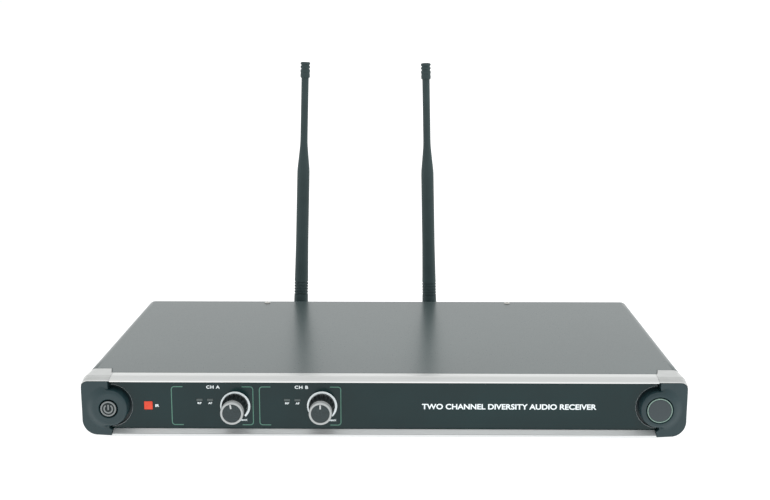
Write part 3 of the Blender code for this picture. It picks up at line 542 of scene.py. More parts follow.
def make_rails():
    top = rounded(
        [
            (0.0, 39.2, 0.25), (4.7, 39.2), (4.7, CAP_TOP), (20.0, CAP_TOP), (20.0, 40.5), (RAIL_DEPTH, 40.5),
            (RAIL_DEPTH, HEIGHT, 0.3), (7.5, HEIGHT, 0.1), (7.25, 41.72), (6.9, 41.70), (6.6, 41.88, 0.1),
            (0.35, 40.6, 0.5), (0.0, 40.1, 0.3),
        ]
    )
    put("top_rail", prism(top, -RAIL_HALF, RAIL_HALF, "side"), ALUMINIUM, replaces=["front_top_rail"])
    bottom = rounded(
        [
            (0.0, 0.1, 0.35), (RAIL_DEPTH, 0.1), (RAIL_DEPTH, 1.5), (20.0, 1.5), (20.0, 2.5), (8.0, 2.5),
            (8.0, 3.2), (4.7, 3.2), (4.7, 4.45), (3.9, 4.45, 0.3), (0.5, 2.0, 0.5), (0.0, 1.8, 0.2),
        ]
    )
    half = CAP_FOOT - 0.3
    rail = prism(bottom, -half, half, "side")
    for vert in rail.verts:
        vert.co.x += copysign(FOOT_SLANT * (1 - vert.co.z / 4.7), vert.co.x)
    put("bottom_rail", rail, SLOPE_ALUMINIUM, replaces=["front_bottom_rail"])


def on_corner(angle, radius, depth=0.0):
    """Where a ray from the corner's pivot meets the case's outline, or the line that deep below it."""
    ray = Vector((cos(radians(angle)), sin(radians(angle))))
    pivot = Vector(PIVOT)
    centre = Vector((HALF - radius, HEIGHT - radius))
    gap = pivot - centre
    along = gap.dot(ray)
    under = along * along - gap.dot(gap) + (radius - depth) ** 2
    point = pivot + ray * (sqrt(max(under, 0.0)) - along)
    if point.x < centre.x:
        return pivot + ray * (HEIGHT - depth - pivot.y) / ray.y
    if point.y < centre.y:
        return pivot + ray * (HALF - depth - pivot.x) / ray.x
    return point


def cap_corner(angle, gap=0.0):
    """A point on the end cap's round top corner, or that far outside it."""
    radius = 4.6 + 0.7 * (1 - angle / 90) ** 1.5 + gap
    return Vector((PIVOT[0] + radius * cos(radians(angle)), PIVOT[1] + radius * sin(radians(angle))))


def trim_stations():
    """Along the flat top, round the corner and down the side: an angle, and a shift from its point."""
    stations = [(90.0, Vector((x - PIVOT[0], 0))) for x in (TRIM_INNER_X, TRIM_STEP_X, TRIM_REAR_X, 199.0)]
    steps = 20
    stations += [(90.0 - 90.0 * i / steps, Vector((0, 0))) for i in range(steps + 1)]
    stations.append((0.0, Vector((0, 30.0 - PIVOT[1]))))
    return stations


def swept(stations):
    """A closed solid through stations, each a loop of points."""
    bm = bmesh.new()
    loops = [[bm.verts.new(point) for point in loop] for loop in stations]
    for first, second in zip(loops, loops[1:]):
        for i in range(len(first)):
            bm.faces.new((first[i - 1], first[i], second[i], second[i - 1]))
    bm.faces.new(loops[0])
    bm.faces.new(loops[-1][::-1])
    bmesh.ops.recalc_face_normals(bm, faces=bm.faces)
    return bm


def wrap_point(angle, shift, y, depth):
    """The corner opens from the fuller radius at the front to the case's own radius at the back."""
    share = min(max((y - 7.5) / (TRIM_DEPTH - 7.5), 0.0), 1.0)
    radius = 1.0 if any(shift) else FRONT_EDGE + (EDGE - FRONT_EDGE) * share
    point = on_corner(angle, radius, depth) + shift
    return (point.x, y, point.y)


def make_trims():
    """Each silver corner: a wrap over the end cap and a sloping nose."""
    wall = HEIGHT - CAP_TOP - 0.3
    lip_end = 14.0
    for side, label in SIDES:
        wrap, nose = [], []
        for angle, shift in trim_stations():
            rear = TRIM_DEPTH if PIVOT[0] + shift.x >= TRIM_REAR_X else RAIL_DEPTH
            section = [(rear - 0.15, 0), (rear, 0.15), (rear, wall), (3.3, wall), (3.3, 0.65), (6.6, 0.12)]
            section += [(6.9, 0.30), (7.25, 0.28), (7.5, 0)]
            wrap.append([wrap_point(angle, shift, y, depth) for y, depth in section])
            if angle < lip_end:
                continue
            lip = 0.25 + 0.45 * (angle - lip_end) / (90.0 - lip_end)
            loop = [wrap_point(angle, shift, 6.6, 0.12)]
            under_lip = [(0.0, 0.1), (0.2, 0.02), (4.0, 0.02)]
            for y, gap in [(0.25, lip + 0.18), (0.05, lip + 0.1), (0.0, lip)] + under_lip:
                point = cap_corner(angle, gap) + shift
                loop.append((point.x, y, point.y))
            loop.append(wrap_point(angle, shift, 6.0, 0.5))
            nose.append(loop)
        name = "corner_trim_" + label
        loops = [[[(side * x, y, z) for x, y, z in loop] for loop in part] for part in (wrap, nose)]
        bm = merged(swept(loops[0]), swept(loops[1]))
        put(name + "_shell", bm, TRIM_ALUMINIUM, replaces=[name], smooth=28)


def cap_side():
    """The end cap's outer side below the silver trim, round its lower corner and along to its foot."""
    side = [(209.9, 29.7), (209.87, 25.0), (209.8, 19.3)] + arc((199.1, 11.7), 10.7, 3, -84, 20)
    return side + [(CAP_FOOT + FOOT_SLANT, 0.5), (CAP_FOOT, 4.6), (CAP_INNER, 6.0)]


def cap_outline():
    """The end cap's front outline, from its inner top corner round to its foot."""
    return [(CAP_INNER, CAP_TOP - 0.1)] + [tuple(cap_corner(90 - 7.5 * i)) for i in range(13)] + cap_side()


def inset(outline, depth):
    """A clockwise outline moved inwards."""
    points = []
    for i, here in enumerate(outline):
        before = (Vector(here) - Vector(outline[i - 1])).normalized()
        after = (Vector(outline[(i + 1) % len(outline)]) - Vector(here)).normalized()
        inward = Vector((before.y + after.y, -before.x - after.x)) / (1 + before.dot(after))
        points.append(tuple(Vector(here) + inward * depth))
    return points


def cap_face(side):
    """The front of an end cap, 3 mm thick, with a rounded front edge."""
    outline = cap_outline()
    soft = 0.5
    steps = 4
    rows = [(3.0, 0.0)]
    for i in range(steps + 1):
        angle = radians(90 * i / steps)
        rows.append((soft * (1 - sin(angle)), soft * (1 - cos(angle))))
    face = swept([[(side * x, y, z) for x, z in inset(outline, depth)] for y, depth in rows])
    for x in range(199, 210):  # strips narrow enough for the crown to bend
        cut_along(face, side * x)
    return crowned(face)


def crowned(bm):
    """Lets the cap's front fall back a little towards its outer side."""
    deepest, start, fall = 1.5, 200.0, 0.006
    for vert in bm.verts:
        if vert.co.y < deepest:
            out = max(abs(vert.co.x) - start, 0.0)
            vert.co.y += fall * out * out
    return bm


def make_boss(side):
    """The round boss: rounded over on the fascia's side, and running out softly into the cap's face."""
    start, end = BOSS_BLEND
    sunk = 0.06
    rows = 16
    profile = [(0, BOSS_PROUD)]
    spread = [0.0]
    for i in range(rows + 1):
        height = (BOSS_PROUD + sunk) * (0.5 + 0.5 * cos(pi * i / rows)) - sunk
        radius = BOSS_RADIUS - BOSS_PROUD + sqrt(BOSS_PROUD**2 - height**2)
        profile.append((radius, height))
        spread.append(start + (end - start) * i / rows - radius)
    profile += [(BOSS_RADIUS, -1.5), (BOSS_RADIUS, -1.7), (BOSS_RADIUS, -8.6)]
    profile += [(16.8, -8.6), (16.8, -9.5), (0, -9.5)]
    spread += [end - BOSS_RADIUS] + [0.0] * 5

    def blend(angle, row):
        """None on the fascia's side, then rising smoothly to the full spread on the outer side."""
        begins, rises = 0.04, 0.34
        share = min(max((side * cos(angle) - begins) / rises, 0.0), 1.0)
        return spread[row] * share * share * (3 - 2 * share)

    boss = lathe(profile, 120, wave=blend)
    return crowned(moved(boss, Matrix.Translation((side * BOSS_X, 0, CONTROL_Z)) @ TURN["front"]))


def cap_shell(side):
    """The cap's block behind its face, from the face back under the silver trim."""
    radius = CAP_TOP - SHOULDER[1]
    outline = [(CAP_INNER, CAP_TOP)] + arc(SHOULDER, radius, 90, 0, 10)
    outline += [(SHOULDER[0] + radius, 29.7)] + cap_side()
    return prism(mirrored(inset(outline, 0.05), side), 2.2, 23.6, "front")


def cap_hollow(side):
    outline = [(180.0, 3.5), (192.5, 3.5), (200.5, 4.2), (205.5, 10.0), (205.5, 37.5), (180.0, 37.5)]
    return prism(mirrored(outline, side), 2.9, 30.0, "front")


def cap_wall(side):
    """The thin wall on the cap's inner side."""
    low, high = sorted((side * CAP_INNER, side * (CAP_INNER + 1.5)))
    return block((low, 2.0, 4.5), (high, 8.5, 38.5))


def make_end_caps():
    for side, label, bore in ((-1, "left", 6.3), (1, "right", 9.1)):
        cap = boolean(cap_face(side), [cap_shell(side)], "UNION")
        cap = boolean(cap, [cap_hollow(side)])
        cap = boolean(cap, [cap_wall(side), make_boss(side)], "UNION")
        flare = [(0, 4.0), (bore + 0.6, 4.0), (bore + 0.6, BOSS_PROUD), (bore + 0.4, BOSS_PROUD - 0.2)]
        flare += [(bore, BOSS_PROUD - 0.8), (bore, -12.0), (0, -12.0)]
        place = Matrix.Translation((side * BOSS_X, 0, CONTROL_Z)) @ TURN["front"]
        cap = boolean(cap, [moved(lathe(flare, 72), place)])
        put("end_cap_" + label + "_shell", cap, CAP_PLASTIC, replaces=["end_cap_" + label], smooth=32)


# ---- fascia


def split_plate(plate):
    """Cuts the plate's long faces near each hole, so that no face is left with slivers round it."""
    off_centre = 0.17  # clear of the cutters' own corners
    spots = [joint_spot(f"knob_{channel}_turn").x for channel in "ab"]
    spots += [node_middle(name).x for name in WINDOWS]
    for x in spots:
        cut_along(plate, x + off_centre)


def make_cutout_edge(side, label, place):
    """The bevel round a cut-out, which ends where the fascia ends. It is coloured a lighter grey than the
    fascia paint, a painted highlight.
    """
    bevel, edge = CUTOUT[1], CUTOUT[0]
    band = [(bevel, 0.02), (edge - 0.02, -0.5), (edge + 0.1, -0.65), (bevel + 0.1, -0.1)]
    low, high = sorted((side * 170.0, side * FASCIA_HALF))
    ring = moved(lathe(band, 120, True), place)
    ring = boolean(ring, [block((low, 0, 0), (high, 10, HEIGHT))], "INTERSECT")
    put("cutout_edge_" + label, ring, CUT_EDGE_HIGHLIGHT)


def hole_cutter(radii, slope, sides, place):
    """Cuts a round hole with a bevelled edge. Its bevel starts a little in front of the plate."""
    inner, proud = radii[0], 0.1
    wide = radii[1] + proud
    profile = [(0, 3), (wide, 3), (wide, proud), (inner, -slope), (inner, -4), (0, -4)]
    return moved(lathe(profile, sides), place)


def make_fascia():
    plate = block((-FASCIA_HALF, FASCIA_Y, 3.5), (FASCIA_HALF, 7.7, 39.6), 0.2)
    split_plate(plate)
    tools = []
    for side, label in SIDES:
        place = Matrix.Translation((side * BOSS_X, FASCIA_Y, CONTROL_Z)) @ TURN["front"]
        tools.append(hole_cutter(CUTOUT, 0.5, 120, place))
        make_cutout_edge(side, label, place)
    for channel in "ab":
        at = joint_spot(f"knob_{channel}_turn")
        place = Matrix.Translation((at.x, FASCIA_Y, at.z)) @ TURN["front"]
        tools.append(hole_cutter(KNOB_HOLE, 0.3, 40, place))
    gap = 0.15
    for name in WINDOWS:
        low, high = node_spots(name)
        tools.append(block((low.x - gap, 3.0, low.z - gap), (high.x + gap, 9.0, high.z + gap)))
    put("fascia_plate", boolean(plate, tools), FASCIA_PAINT, replaces=["front_panel"], smooth=20)


def make_lights():
    """The receiver window and the four status lights: small lenses with rounded edges."""
    for name in WINDOWS:
        low, high = node_spots(name)
        lens = block((low.x, low.y, low.z), (high.x, high.y, high.z), 0.12, 3)
        material = RED_LENS if name == "ir_window" else SMOKED_LENS
        put(name + "_lens", lens, material, replaces=[name])


def make_print_lines():
    arcs = {"a": (-103.45, 20.6), "b": (-42.8, 20.9)}
    for channel, centre in arcs.items():
        put("dial_arc_" + channel, ribbon(arc(centre, 9.75, 222, -47, 60), 1.5, *PRINT), GLOWING_WHITE_INK)
    low, high, corner = 7.0, 34.6, 2.0
    brackets = {"left_a": (-147.8, -139.9), "right_a": (-90.95, -98.6)}
    brackets |= {"left_b": (-86.4, -78.6), "right_b": (-29.7, -37.2)}
    for label, (x, arm) in brackets.items():
        step = corner if arm > x else -corner
        first = (180, 90) if arm > x else (0, 90)
        last = (270, 180) if arm > x else (-90, 0)
        route = [(arm, low)] + arc((x + step, low + corner), corner, *last, 5)
        route += arc((x + step, high - corner), corner, *first, 5) + [(arm, high)]
        put("bracket_" + label, ribbon(route, 0.62, *PRINT), GREEN_INK)


def lettering(name, words, x, z, tall, wide, weight=0.0, spacing=1.0):
    """Printed words centred on x and z, fitted to a height and a width."""
    curve = bpy.data.curves.new(name, "FONT")
    curve.body = words
    curve.size = 10.0
    curve.offset = weight
    curve.space_character = spacing
    curve.extrude = 0.5
    curve.resolution_u = 6
    drawn = bpy.data.objects.new(name, curve)
    bpy.context.collection.objects.link(drawn)
    mesh = bpy.data.meshes.new_from_object(drawn.evaluated_get(bpy.context.evaluated_depsgraph_get()))
    bpy.data.objects.remove(drawn)
    bm = bmesh.new()
    bm.from_mesh(mesh)
    bpy.data.meshes.remove(mesh)
    low = [min(vert.co[axis] for vert in bm.verts) for axis in (0, 1)]
    high = [max(vert.co[axis] for vert in bm.verts) for axis in (0, 1)]
    for vert in bm.verts:
        across = (vert.co.x - (low[0] + high[0]) / 2) * wide / (high[0] - low[0])
        up = (vert.co.y - (low[1] + high[1]) / 2) * tall / (high[1] - low[1])
        vert.co = (x + across, PRINT[0] if vert.co.z > 0 else PRINT[1], z + up)
    bmesh.ops.recalc_face_normals(bm, faces=bm.faces)
    put(name, bm, GLOWING_WHITE_INK)


def make_labels():
    """Plain words for what each control does."""
    lettering("panel_words", "TWO CHANNEL DIVERSITY AUDIO RECEIVER", 87.4, 20.75, 4.0, 121.3, 0.27)
    for channel, x in (("a", -118.65), ("b", -57.05)):
        lettering(f"channel_{channel}_words", "CH " + channel.upper(), x, 34.4, 2.3, 9.4, 0.3, 1.15)
    for channel in "ab":
        for kind in ("rf", "af"):
            x = node_middle(f"{kind}_light_{channel}").x
            lettering(f"{kind}_words_{channel}", kind.upper(), x, 22.7, 1.4, 2.7, 0.3)
    lettering("window_words", "IR", -158.0, 20.8, 1.9, 2.7, 0.35)
    for channel, x in (("a", -97.5), ("b", -35.3)):
        lettering("full_words_" + channel, "MAX", x, 10.5, 1.35, 4.8, 0.3)


def make_power_button():
    """A dark face inside a raised pale ring, with a pale power sign."""
    at = (-BOSS_X, 0, CONTROL_Z)
    shank = [(0, 2.9), (4.1, 2.9), (5.5, 2.9), (5.7, 2.7), (5.7, -4.0), (3.0, -4.0), (3.0, -9.6)]
    shank += [(1.6, -9.6), (1.6, -12.1), (0, -12.1)]
    body = "power_button"
    put("power_button_body", lathe(shank, 64), BUTTON_DARK, body, ["power_button"], at, TURN["front"])
    put("power_button_ring", tube_ring(4.35, 5.45, 2.8, 3.3, 0.15), BUTTON_RING, body, (), at, TURN["front"])
    sign = ribbon(arc((0, 0), 2.85, 125, 415, 30), 0.95, -3.15, -2.85)
    stem = ribbon([(0, -0.9), (0, 2.95)], 0.95, -3.15, -2.85)
    put("power_button_sign", merged(sign, stem), BUTTON_RING, body, (), at)


def make_select_button():
    at = (BOSS_X, 0, CONTROL_Z)
    disc = [(0, 3.35), (5.0, 3.33), (7.3, 3.25), (7.8, 3.1), (7.97, 2.9), (7.97, 2.2), (8.45, 2.2)]
    disc += [(8.5, 2.0), (8.5, -4.0), (3.0, -4.0), (3.0, -9.6), (1.6, -9.6), (1.6, -12.1), (0, -12.1)]
    body = "select_button"
    put("select_button_body", lathe(disc, 72), BUTTON_PLASTIC, body, ["select_button"], at, TURN["front"])
    ring = tube_ring(8.0, 8.6, 2.1, 3.3, 0.15, 96)
    put("select_button_ring", ring, GREEN_RING, body, ["select_light_ring"], at, TURN["front"])


def make_knob(channel):
    """A fluted rubber grip, a turned metal band, a dark face and the pointer line."""
    spot = joint_spot(f"knob_{channel}_turn")
    at = (spot.x, FASCIA_Y, spot.z)
    lean = {"a": 8.0, "b": 0.0}[channel]  # how far the pointer stands left of upright
    turn = Matrix.Rotation(radians(-lean), 4, "Y") @ TURN["front"]
    body = "knob_" + channel
    flutes = 18
    grip = [(0, 16.2), (7.2, 16.2), (7.2, 12.2), (7.8, 12.15), (8.15, 11.8), (8.4, 10.0), (8.9, 3.6)]
    grip += [(9.1, 2.4), (9.1, 0.9), (8.9, 0.7), (6.8, 0.7), (6.8, 8.0), (3.1, 8.0), (3.1, 14.0), (0, 14.0)]
    flute_depth = {4: 0.5, 5: 0.75, 6: 0.7}  # by the grip's row, down its flared side

    def flute(angle, row):
        return -flute_depth.get(row, 0.0) * max(cos(flutes * angle) + 0.2, 0.0) ** 0.5

    put(f"knob_{channel}_grip", lathe(grip, flutes * 12, wave=flute), KNOB_RUBBER, body, [body], at, turn)
    band = [(0, 17.2), (6.5, 17.2), (6.5, 17.35), (6.65, 17.5), (7.5, 17.5), (7.75, 17.4), (7.9, 17.15)]
    band += [(7.9, 13.4), (7.8, 13.3), (7.8, 13.1), (7.9, 13.0), (7.9, 12.7), (7.75, 12.5), (7.5, 12.5)]
    band += [(7.5, 16.5), (0, 16.5)]
    put(f"knob_{channel}_band", lathe(band, 96), KNOB_BAND, body, [f"knob_band_{channel}"], at, turn)
    face = lathe([(0, 17.30), (6.1, 17.30), (6.4, 17.26), (6.46, 17.15), (6.46, 16.9), (0, 16.9)], 72)
    put(f"knob_{channel}_face", face, KNOB_FACE, body, (), at, turn)
    pointer = block((-0.55, 3.3, 17.2), (0.55, 6.3, 17.42), 0.08)
    put(f"knob_{channel}_pointer", pointer, TURNED_ALUMINIUM, body, (), at, turn)


# ---- antennas


def whip_profile():
    """(radius, height) from the tip down to the shoulder above the hinge."""
    tip = [(0, 228.6), (3.2, 228.6), (3.9, 228.3), (4.2, 227.7), (4.2, 226.9), (3.9, 226.5)]
    tip += [(3.55, 226.2), (3.55, 225.5), (4.0, 225.1), (4.15, 224.7), (4.15, 223.9), (3.9, 223.5)]
    tip += [(3.6, 223.2), (3.6, 222.5), (4.0, 222.1), (4.15, 221.6), (4.2, 220.4), (4.0, 219.8)]
    tip += [(3.85, 219.4), (3.95, 218.9), (4.1, 217.5), (4.05, 215.8), (3.8, 215.2), (3.15, 215.0)]
    rod = [(3.12, 190.0), (3.15, 165.0), (3.2, 160.0), (3.35, 156.5), (3.7, 152.5)]
    cone = [(4.4, 145.0), (5.0, 139.0), (5.25, 136.2), (5.38, 133.5), (5.4, 130.0), (5.45, 100.0)]
    sleeve = [(5.5, 70.0), (5.75, 50.0), (5.95, 38.0)]
    grooves = []
    ridge, floor = 6.05, 5.25
    for i in range(5):
        top = 35.65 - 2.6 * i
        grooves += [(ridge, top), (floor, top - 0.3), (floor, top - 1.2), (ridge, top - 1.5)]
    foot = [(6.1, 22.5), (6.2, 17.0), (6.15, 12.0), (5.95, 10.4), (5.6, 10.0), (0, 10.0)]
    return tip + rod + cone + sleeve + grooves + foot


def pin_bore(reach):
    """The cutter for the hinge pin's hole, along X."""
    return moved(cylinder(PIN_BORE, -reach, reach), Matrix.Rotation(radians(90), 4, "Y"))


def make_whip(channel, at, turn):
    """The whip, with a flat tongue at its foot that the hinge pin runs through."""
    name = "antenna_whip_" + channel
    tongue = prism(arc((0, 0), 5.8, 180, 360, 20) + [(5.8, 12.0), (-5.8, 12.0)], -3.2, 3.2, "side")
    soften(tongue, 0.3, 2, 50)
    solid = boolean(lathe(whip_profile(), 56), [tongue], "UNION")
    put(name + "_body", boolean(solid, [pin_bore(6)]), ANTENNA_PLASTIC, name, [name], at, turn, 30)


def make_antenna_base(channel, at, turn):
    """A knurled nut with two cheeks that hold the whip's tongue between them."""
    name = "antenna_base_" + channel
    ridges = 30
    nut = [(0, -6.7), (5.3, -6.7), (5.8, -6.9), (6.9, -8.2), (7.1, -8.9), (7.15, -9.3), (7.15, -15.6)]
    nut += [(7.0, -16.0), (6.6, -16.2), (6.6, -17.2), (5.1, -17.3), (5.1, -13.7), (0, -13.7)]

    def knurl(angle, row):
        return -0.16 * (1 + cos(ridges * angle)) if row in (5, 6) else 0.0

    knuckle = moved(lathe(nut, ridges * 6, wave=knurl), TURN["back"])
    for side in (-1, 1):
        inner, outer = sorted((side * 3.6, side * 6.2))
        cheek = prism(arc((0, 0), 6.1, -90, 90, 20) + [(-7.6, 5.0), (-7.6, -5.0)], inner, outer, "side")
        soften(cheek, 0.45, 3, 50)
        knuckle = boolean(knuckle, [cheek], "UNION")
    put(name + "_body", boolean(knuckle, [pin_bore(9)]), ANTENNA_PLASTIC, name, [name], at, turn, 30)


def make_antenna_socket(channel, at):
    """A threaded socket with its flange against the rear panel."""
    name = "antenna_socket_" + channel
    socket = [(0, -14.0), (4.6, -14.0), (4.8, -14.2)]
    for i in range(3):
        thread = -14.6 - i * 0.9
        socket += [(4.8, thread), (4.55, thread - 0.3), (4.8, thread - 0.6)]
    socket += [(4.8, -17.6), (7.3, -17.6), (7.5, -17.8), (7.5, -19.4), (7.3, -19.6), (4.8, -19.6)]
    socket += [(4.8, -30.0), (0, -30.0)]
    put(name + "_body", lathe(socket, 60), NICKEL, "case", [name], at, TURN["back"])


def make_antenna(channel):
    at = joint_spot(f"antenna_{channel}_swivel")
    swivel = Matrix.Rotation(ANTENNA_LEAN[channel], 4, "Y")
    fold = swivel @ Matrix.Rotation(ANTENNA_TILT[channel], 4, "X")
    make_whip(channel, at, fold)
    make_antenna_base(channel, at, swivel)
    make_antenna_socket(channel, at)


# ---- rear connectors, screws and feet


def screw_mesh(radius=2.6, height=1.1, shank=4.5, shank_radius=1.4):
    """A pan-head screw with a cross recess, its head above z = 0."""
    head = [(0, height)] + [(radius * s, height - 0.35 * height * s * s) for s in (0.3, 0.6, 0.8)]
    head += [(radius - 0.15, height * 0.5), (radius, height * 0.3), (radius, 0.3), (shank_radius, 0.3)]
    head += [(shank_radius, -shank), (0, -shank)]
    half, reach, low, high = 0.32, 1.3, 0.35 * height, height + 1
    arm = block((-half, -reach, low), (half, reach, high))
    across = block((-reach, -half, low), (reach, half, high))
    return boolean(lathe(head, 40), [arm, across])


def make_screws():
    for name in ("cover_screw_left", "cover_screw_right", "rear_screw_left", "rear_screw_right"):
        middle = node_middle(name)
        rear = name.startswith("rear")
        at = (middle.x, PANEL_BACK, middle.z) if rear else (middle.x, middle.y, HEIGHT)
        put(name + "_head", screw_mesh(), NICKEL, "case", [name], at, TURN["back" if rear else "up"])


def make_xlr(channel):
    """A three-pin output: shell, dark insert, gilt pins and two fixing screws."""
    name = "xlr_output_" + channel
    at = (node_middle(name).x, CONNECTOR_Y, CONTROL_Z)
    corners = [(-13.0, -15.5, 2.5), (13.0, -15.5, 2.5), (13.0, 15.5, 2.5), (-13.0, 15.5, 2.5)]
    plate = prism(rounded(corners, 6), 0.0, 2.0, "front")
    soften(plate, 0.35, 2, 50)
    barrel = [(0, 2.7), (10.4, 2.7), (10.8, 2.4), (11.0, 1.9), (11.8, -1.0), (11.8, -18.0), (0, -18.0)]
    shell = boolean(plate, [turned_back(barrel, 72)], "UNION")
    bore = [(0, 4.0), (9.9, 4.0), (9.7, 2.6), (9.3, 2.1), (9.3, -14.0), (0, -14.0)]
    key = block((-1.6, -13.0, 8.0), (1.6, 1.2, 10.3))
    holes = [shifted(moved(cylinder(1.7, -4, 4), TURN["back"]), x, 0, z) for x, z in XLR_SCREWS]
    shell = boolean(shell, [turned_back(bore, 72), *holes])
    shell = boolean(shell, [key])
    put(name + "_shell", shell, NICKEL, "case", [name], at)
    insert = [(0, -12.6), (8.7, -12.6), (9.1, -13.0), (9.25, -13.4), (9.25, -14.2), (0, -14.2)]
    put(name + "_insert", turned_back(insert, 60), BLACK_PLASTIC, at=at)
    pins = []
    pin = [(0, -0.6), (0.6, -0.75), (1.0, -1.2), (1.2, -1.8), (1.2, -13.0), (0, -13.0)]
    for x, z in arc((0, 0), 4.7, 90, 330, 2):
        pins.append(shifted(turned_back(pin, 24), x, 0, z))
    put(name + "_pins", merged(*pins), GOLD, at=at)
    for i, (x, z) in enumerate(XLR_SCREWS):
        spot = (at[0] + x, at[1] + 1.7, at[2] + z)
        put(f"{name}_screw_{i}", screw_mesh(2.5, 0.9, 5.0, 1.3), NICKEL, "case", (), spot, TURN["back"])


def make_jack():
    """A 6.35 mm jack: its body behind the panel, a bushing through it, a nut and a washer."""
    at = (node_middle("jack_output").x, CONNECTOR_Y, CONTROL_Z)
    body = block((-7.0, -24.4, -8.0), (7.0, -1.8, 8.0), 0.4)
    bushing = [(0, 3.4), (4.2, 3.4), (4.7, 2.9), (4.7, -3.0), (0, -3.0)]
    bore = [(0, 6.0), (3.9, 6.0), (3.9, 3.4), (3.2, 2.8), (3.2, -23.4), (0, -23.4)]
    body = boolean(body, [turned_back(bushing)], "UNION")
    body = boolean(body, [turned_back(bore)])
    put("jack_body", body, BLACK_PLASTIC, "case", ["jack_output"], at)
    nut = prism(arc((0, 0), 7.3, 30, 330, 5), 0.5, 2.6, "front")
    soften(nut, 0.3, 2)
    hole = moved(cylinder(4.75, -6, 6, 48), TURN["back"])
    put("jack_nut", boolean(nut, [hole]), NICKEL, at=at)
    washer = tube_ring(4.8, 8.0, 0.02, 0.5, 0.12, 60)
    put("jack_washer", washer, NICKEL, "case", (), at, TURN["back"])


def make_dc_inlet():
    """The power inlet: a round mouth in the panel, with its pin inside."""
    at = (node_middle("dc_inlet").x, CONNECTOR_Y, CONTROL_Z)
    body = block((-6.0, -16.4, -6.0), (6.0, -1.8, 6.0), 0.4)
    nose = [(0, 0.9), (4.0, 0.9), (4.4, 0.7), (4.5, 0.4), (4.5, -3.0), (0, -3.0)]
    bore = [(0, 4), (3.6, 4), (3.6, 0.9), (3.1, 0.4), (3.1, -11.4), (0, -11.4)]
    shell = boolean(body, [turned_back(nose)], "UNION")
    shell = boolean(shell, [turned_back(bore)])
    put("dc_body", shell, BLACK_PLASTIC, "case", ["dc_inlet"], at)
    pin = [(0, -1.9), (0.7, -2.0), (1.05, -2.5), (1.05, -12.0), (0, -12.0)]
    put("dc_pin", lathe(pin, 24), NICKEL, "case", (), at, TURN["back"])


def make_feet():
    """A rubber foot with a ring groove and a recess that holds its screw."""
    profile = [(0, -1.9), (3.2, -1.9), (3.4, -2.1), (3.4, -3.7), (3.7, -4.0), (7.9, -4.0), (8.3, -3.8)]
    profile += [(8.8, -2.4), (8.85, -1.5), (8.6, -1.3), (8.6, -1.0), (9.0, -0.8), (9.0, -0.3), (0, -0.3)]
    for row in ("front", "rear"):
        for side in ("left", "right"):
            name = f"foot_{row}_{side}"
            middle = node_middle(name)
            at = (middle.x, middle.y, 0.0)
            put(name + "_body", lathe(profile, 56), FOOT_RUBBER, "case", [name], at)
            spot = (middle.x, middle.y, -1.9)
            put(name + "_screw", screw_mesh(2.6, 1.0, 3.5, 1.3), NICKEL, "case", (), spot, TURN["down"])


def make_rear_frame(name, low, high):
    """A thin printed frame on the rear panel, given by its outer corners."""
    line = 0.4
    corners = [(low[0], low[1]), (high[0], low[1]), (high[0], high[1]), (low[0], high[1])]
    outer = rounded([(x, z, 2.0) for x, z in corners], 5)
    turns = ((1, 1), (-1, 1), (-1, -1), (1, -1))
    inside = [(x + line * across, z + line * up, 1.6) for (x, z), (across, up) in zip(corners, turns)]
    inner = rounded(inside, 5)
    proud, sunk = PANEL_BACK + 0.05, PANEL_BACK - 0.02
    bm = bmesh.new()
    rings = []
    for outline, depth in ((outer, proud), (inner, proud), (inner, sunk), (outer, sunk)):
        rings.append([bm.verts.new((a, depth, b)) for a, b in outline])
    for first, second in zip(rings, rings[1:] + rings[:1]):
        for i in range(len(first)):
            bm.faces.new((first[i - 1], first[i], second[i], second[i - 1]))
    bmesh.ops.recalc_face_normals(bm, faces=bm.faces)
    put("rear_frame_" + name, bm, GLOWING_WHITE_INK)


def make_rear_print():
    """Frames that group the outputs and the power inlet."""
    make_rear_frame("outputs", (66.0, 3.4), (157.0, 38.4))
    make_rear_frame("power", (163.0, 10.0), (181.0, 31.8))


# ---- stage


def make_floor():
    """A pale floor that gives off a little light, like a photographer's light table."""
    bm = bmesh.new()
    bmesh.ops.create_grid(bm, x_segments=1, y_segments=1, size=30.0)
    mesh = bpy.data.meshes.new("floor")
    bm.to_mesh(mesh)
    bm.free()
    floor = bpy.data.objects.new("floor", mesh)
    bpy.context.collection.objects.link(floor)
    material = bpy.data.materials.new("pale_floor")
    material.use_nodes = True
    shader = material.node_tree.nodes["Principled BSDF"]
    set_inputs(shader, Base_Color=(0.34, 0.34, 0.34, 1), Roughness=0.9)
    set_inputs(shader, Emission_Color=(1, 1, 1, 1), Emission_Strength=0.92)
    mesh.materials.append(material)


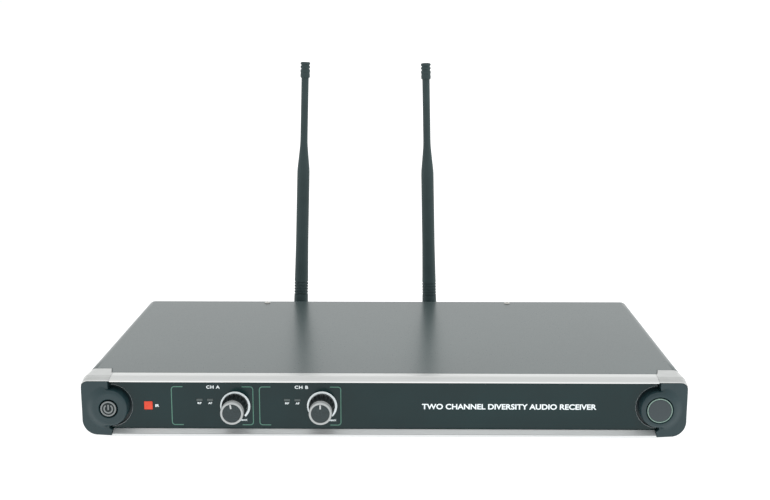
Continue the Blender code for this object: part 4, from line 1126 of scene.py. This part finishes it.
def make_world():
    """A white tent: brightest near the horizon, softer high up."""
    world = bpy.data.worlds.new("white_tent")
    bpy.context.scene.world = world
    world.use_nodes = True
    tree = world.node_tree
    background = tree.nodes["Background"]
    split = add(tree, "ShaderNodeSeparateXYZ")
    tree.links.new(add(tree, "ShaderNodeTexCoord").outputs["Generated"], split.inputs["Vector"])
    ramp = add(tree, "ShaderNodeValToRGB")
    stops = ramp.color_ramp.elements
    stops[0].position, stops[0].color = 0.30, (1.02, 1.03, 1.03, 1)
    stops[1].position, stops[1].color = 1.0, (0.95, 0.95, 0.95, 1)
    middle = stops.new(0.66)
    middle.color = (0.74, 0.75, 0.75, 1)
    tree.links.new(split.outputs["Z"], ramp.inputs["Fac"])
    tree.links.new(ramp.outputs["Color"], background.inputs["Color"])


def make_softboxes():
    """A tall soft light on either side, the right one brighter. Glossy surfaces don't mirror them."""
    for side, power, low, high in ((1, 6.5, 0.03, 1.0), (-1, 2.2, 0.05, 0.65)):
        light = bpy.data.lights.new("softbox", "AREA")
        light.shape = "RECTANGLE"
        light.size = SOFTBOX_WIDE
        light.size_y = high - low
        light.energy = power
        obj = bpy.data.objects.new("softbox", light)
        bpy.context.collection.objects.link(obj)
        place = Matrix.Translation((side * SOFTBOX_OUT, -0.12, (low + high) / 2))
        upright = Matrix.Rotation(side * radians(90), 4, "Y") @ Matrix.Rotation(radians(90), 4, "Z")
        obj.matrix_world = place @ upright
        obj.visible_glossy = False


def make_camera():
    camera = bpy.data.cameras.new("camera")
    camera.lens = LENS
    camera.clip_end = 100.0
    obj = bpy.data.objects.new("camera", camera)
    bpy.context.collection.objects.link(obj)
    aim = Matrix.Rotation(CAMERA_YAW, 4, "Z") @ Matrix.Rotation(radians(90) - CAMERA_PITCH, 4, "X")
    obj.matrix_world = Matrix.Translation(CAMERA_AT) @ aim @ Matrix.Rotation(CAMERA_ROLL, 4, "Z")
    bpy.context.scene.camera = obj


def build():
    bpy.context.scene.view_settings.view_transform = "Standard"
    make_camera()
    make_world()
    make_softboxes()
    make_floor()
    dress_cad_nodes()
    make_cover()
    make_rails()
    make_trims()
    make_end_caps()
    make_fascia()
    make_lights()
    make_print_lines()
    make_labels()
    make_power_button()
    make_select_button()
    make_screws()
    make_jack()
    make_dc_inlet()
    make_feet()
    make_rear_print()
    for channel in "ab":
        make_knob(channel)
        make_antenna(channel)
        make_xlr(channel)


build()
bpy.context.view_layer.update()
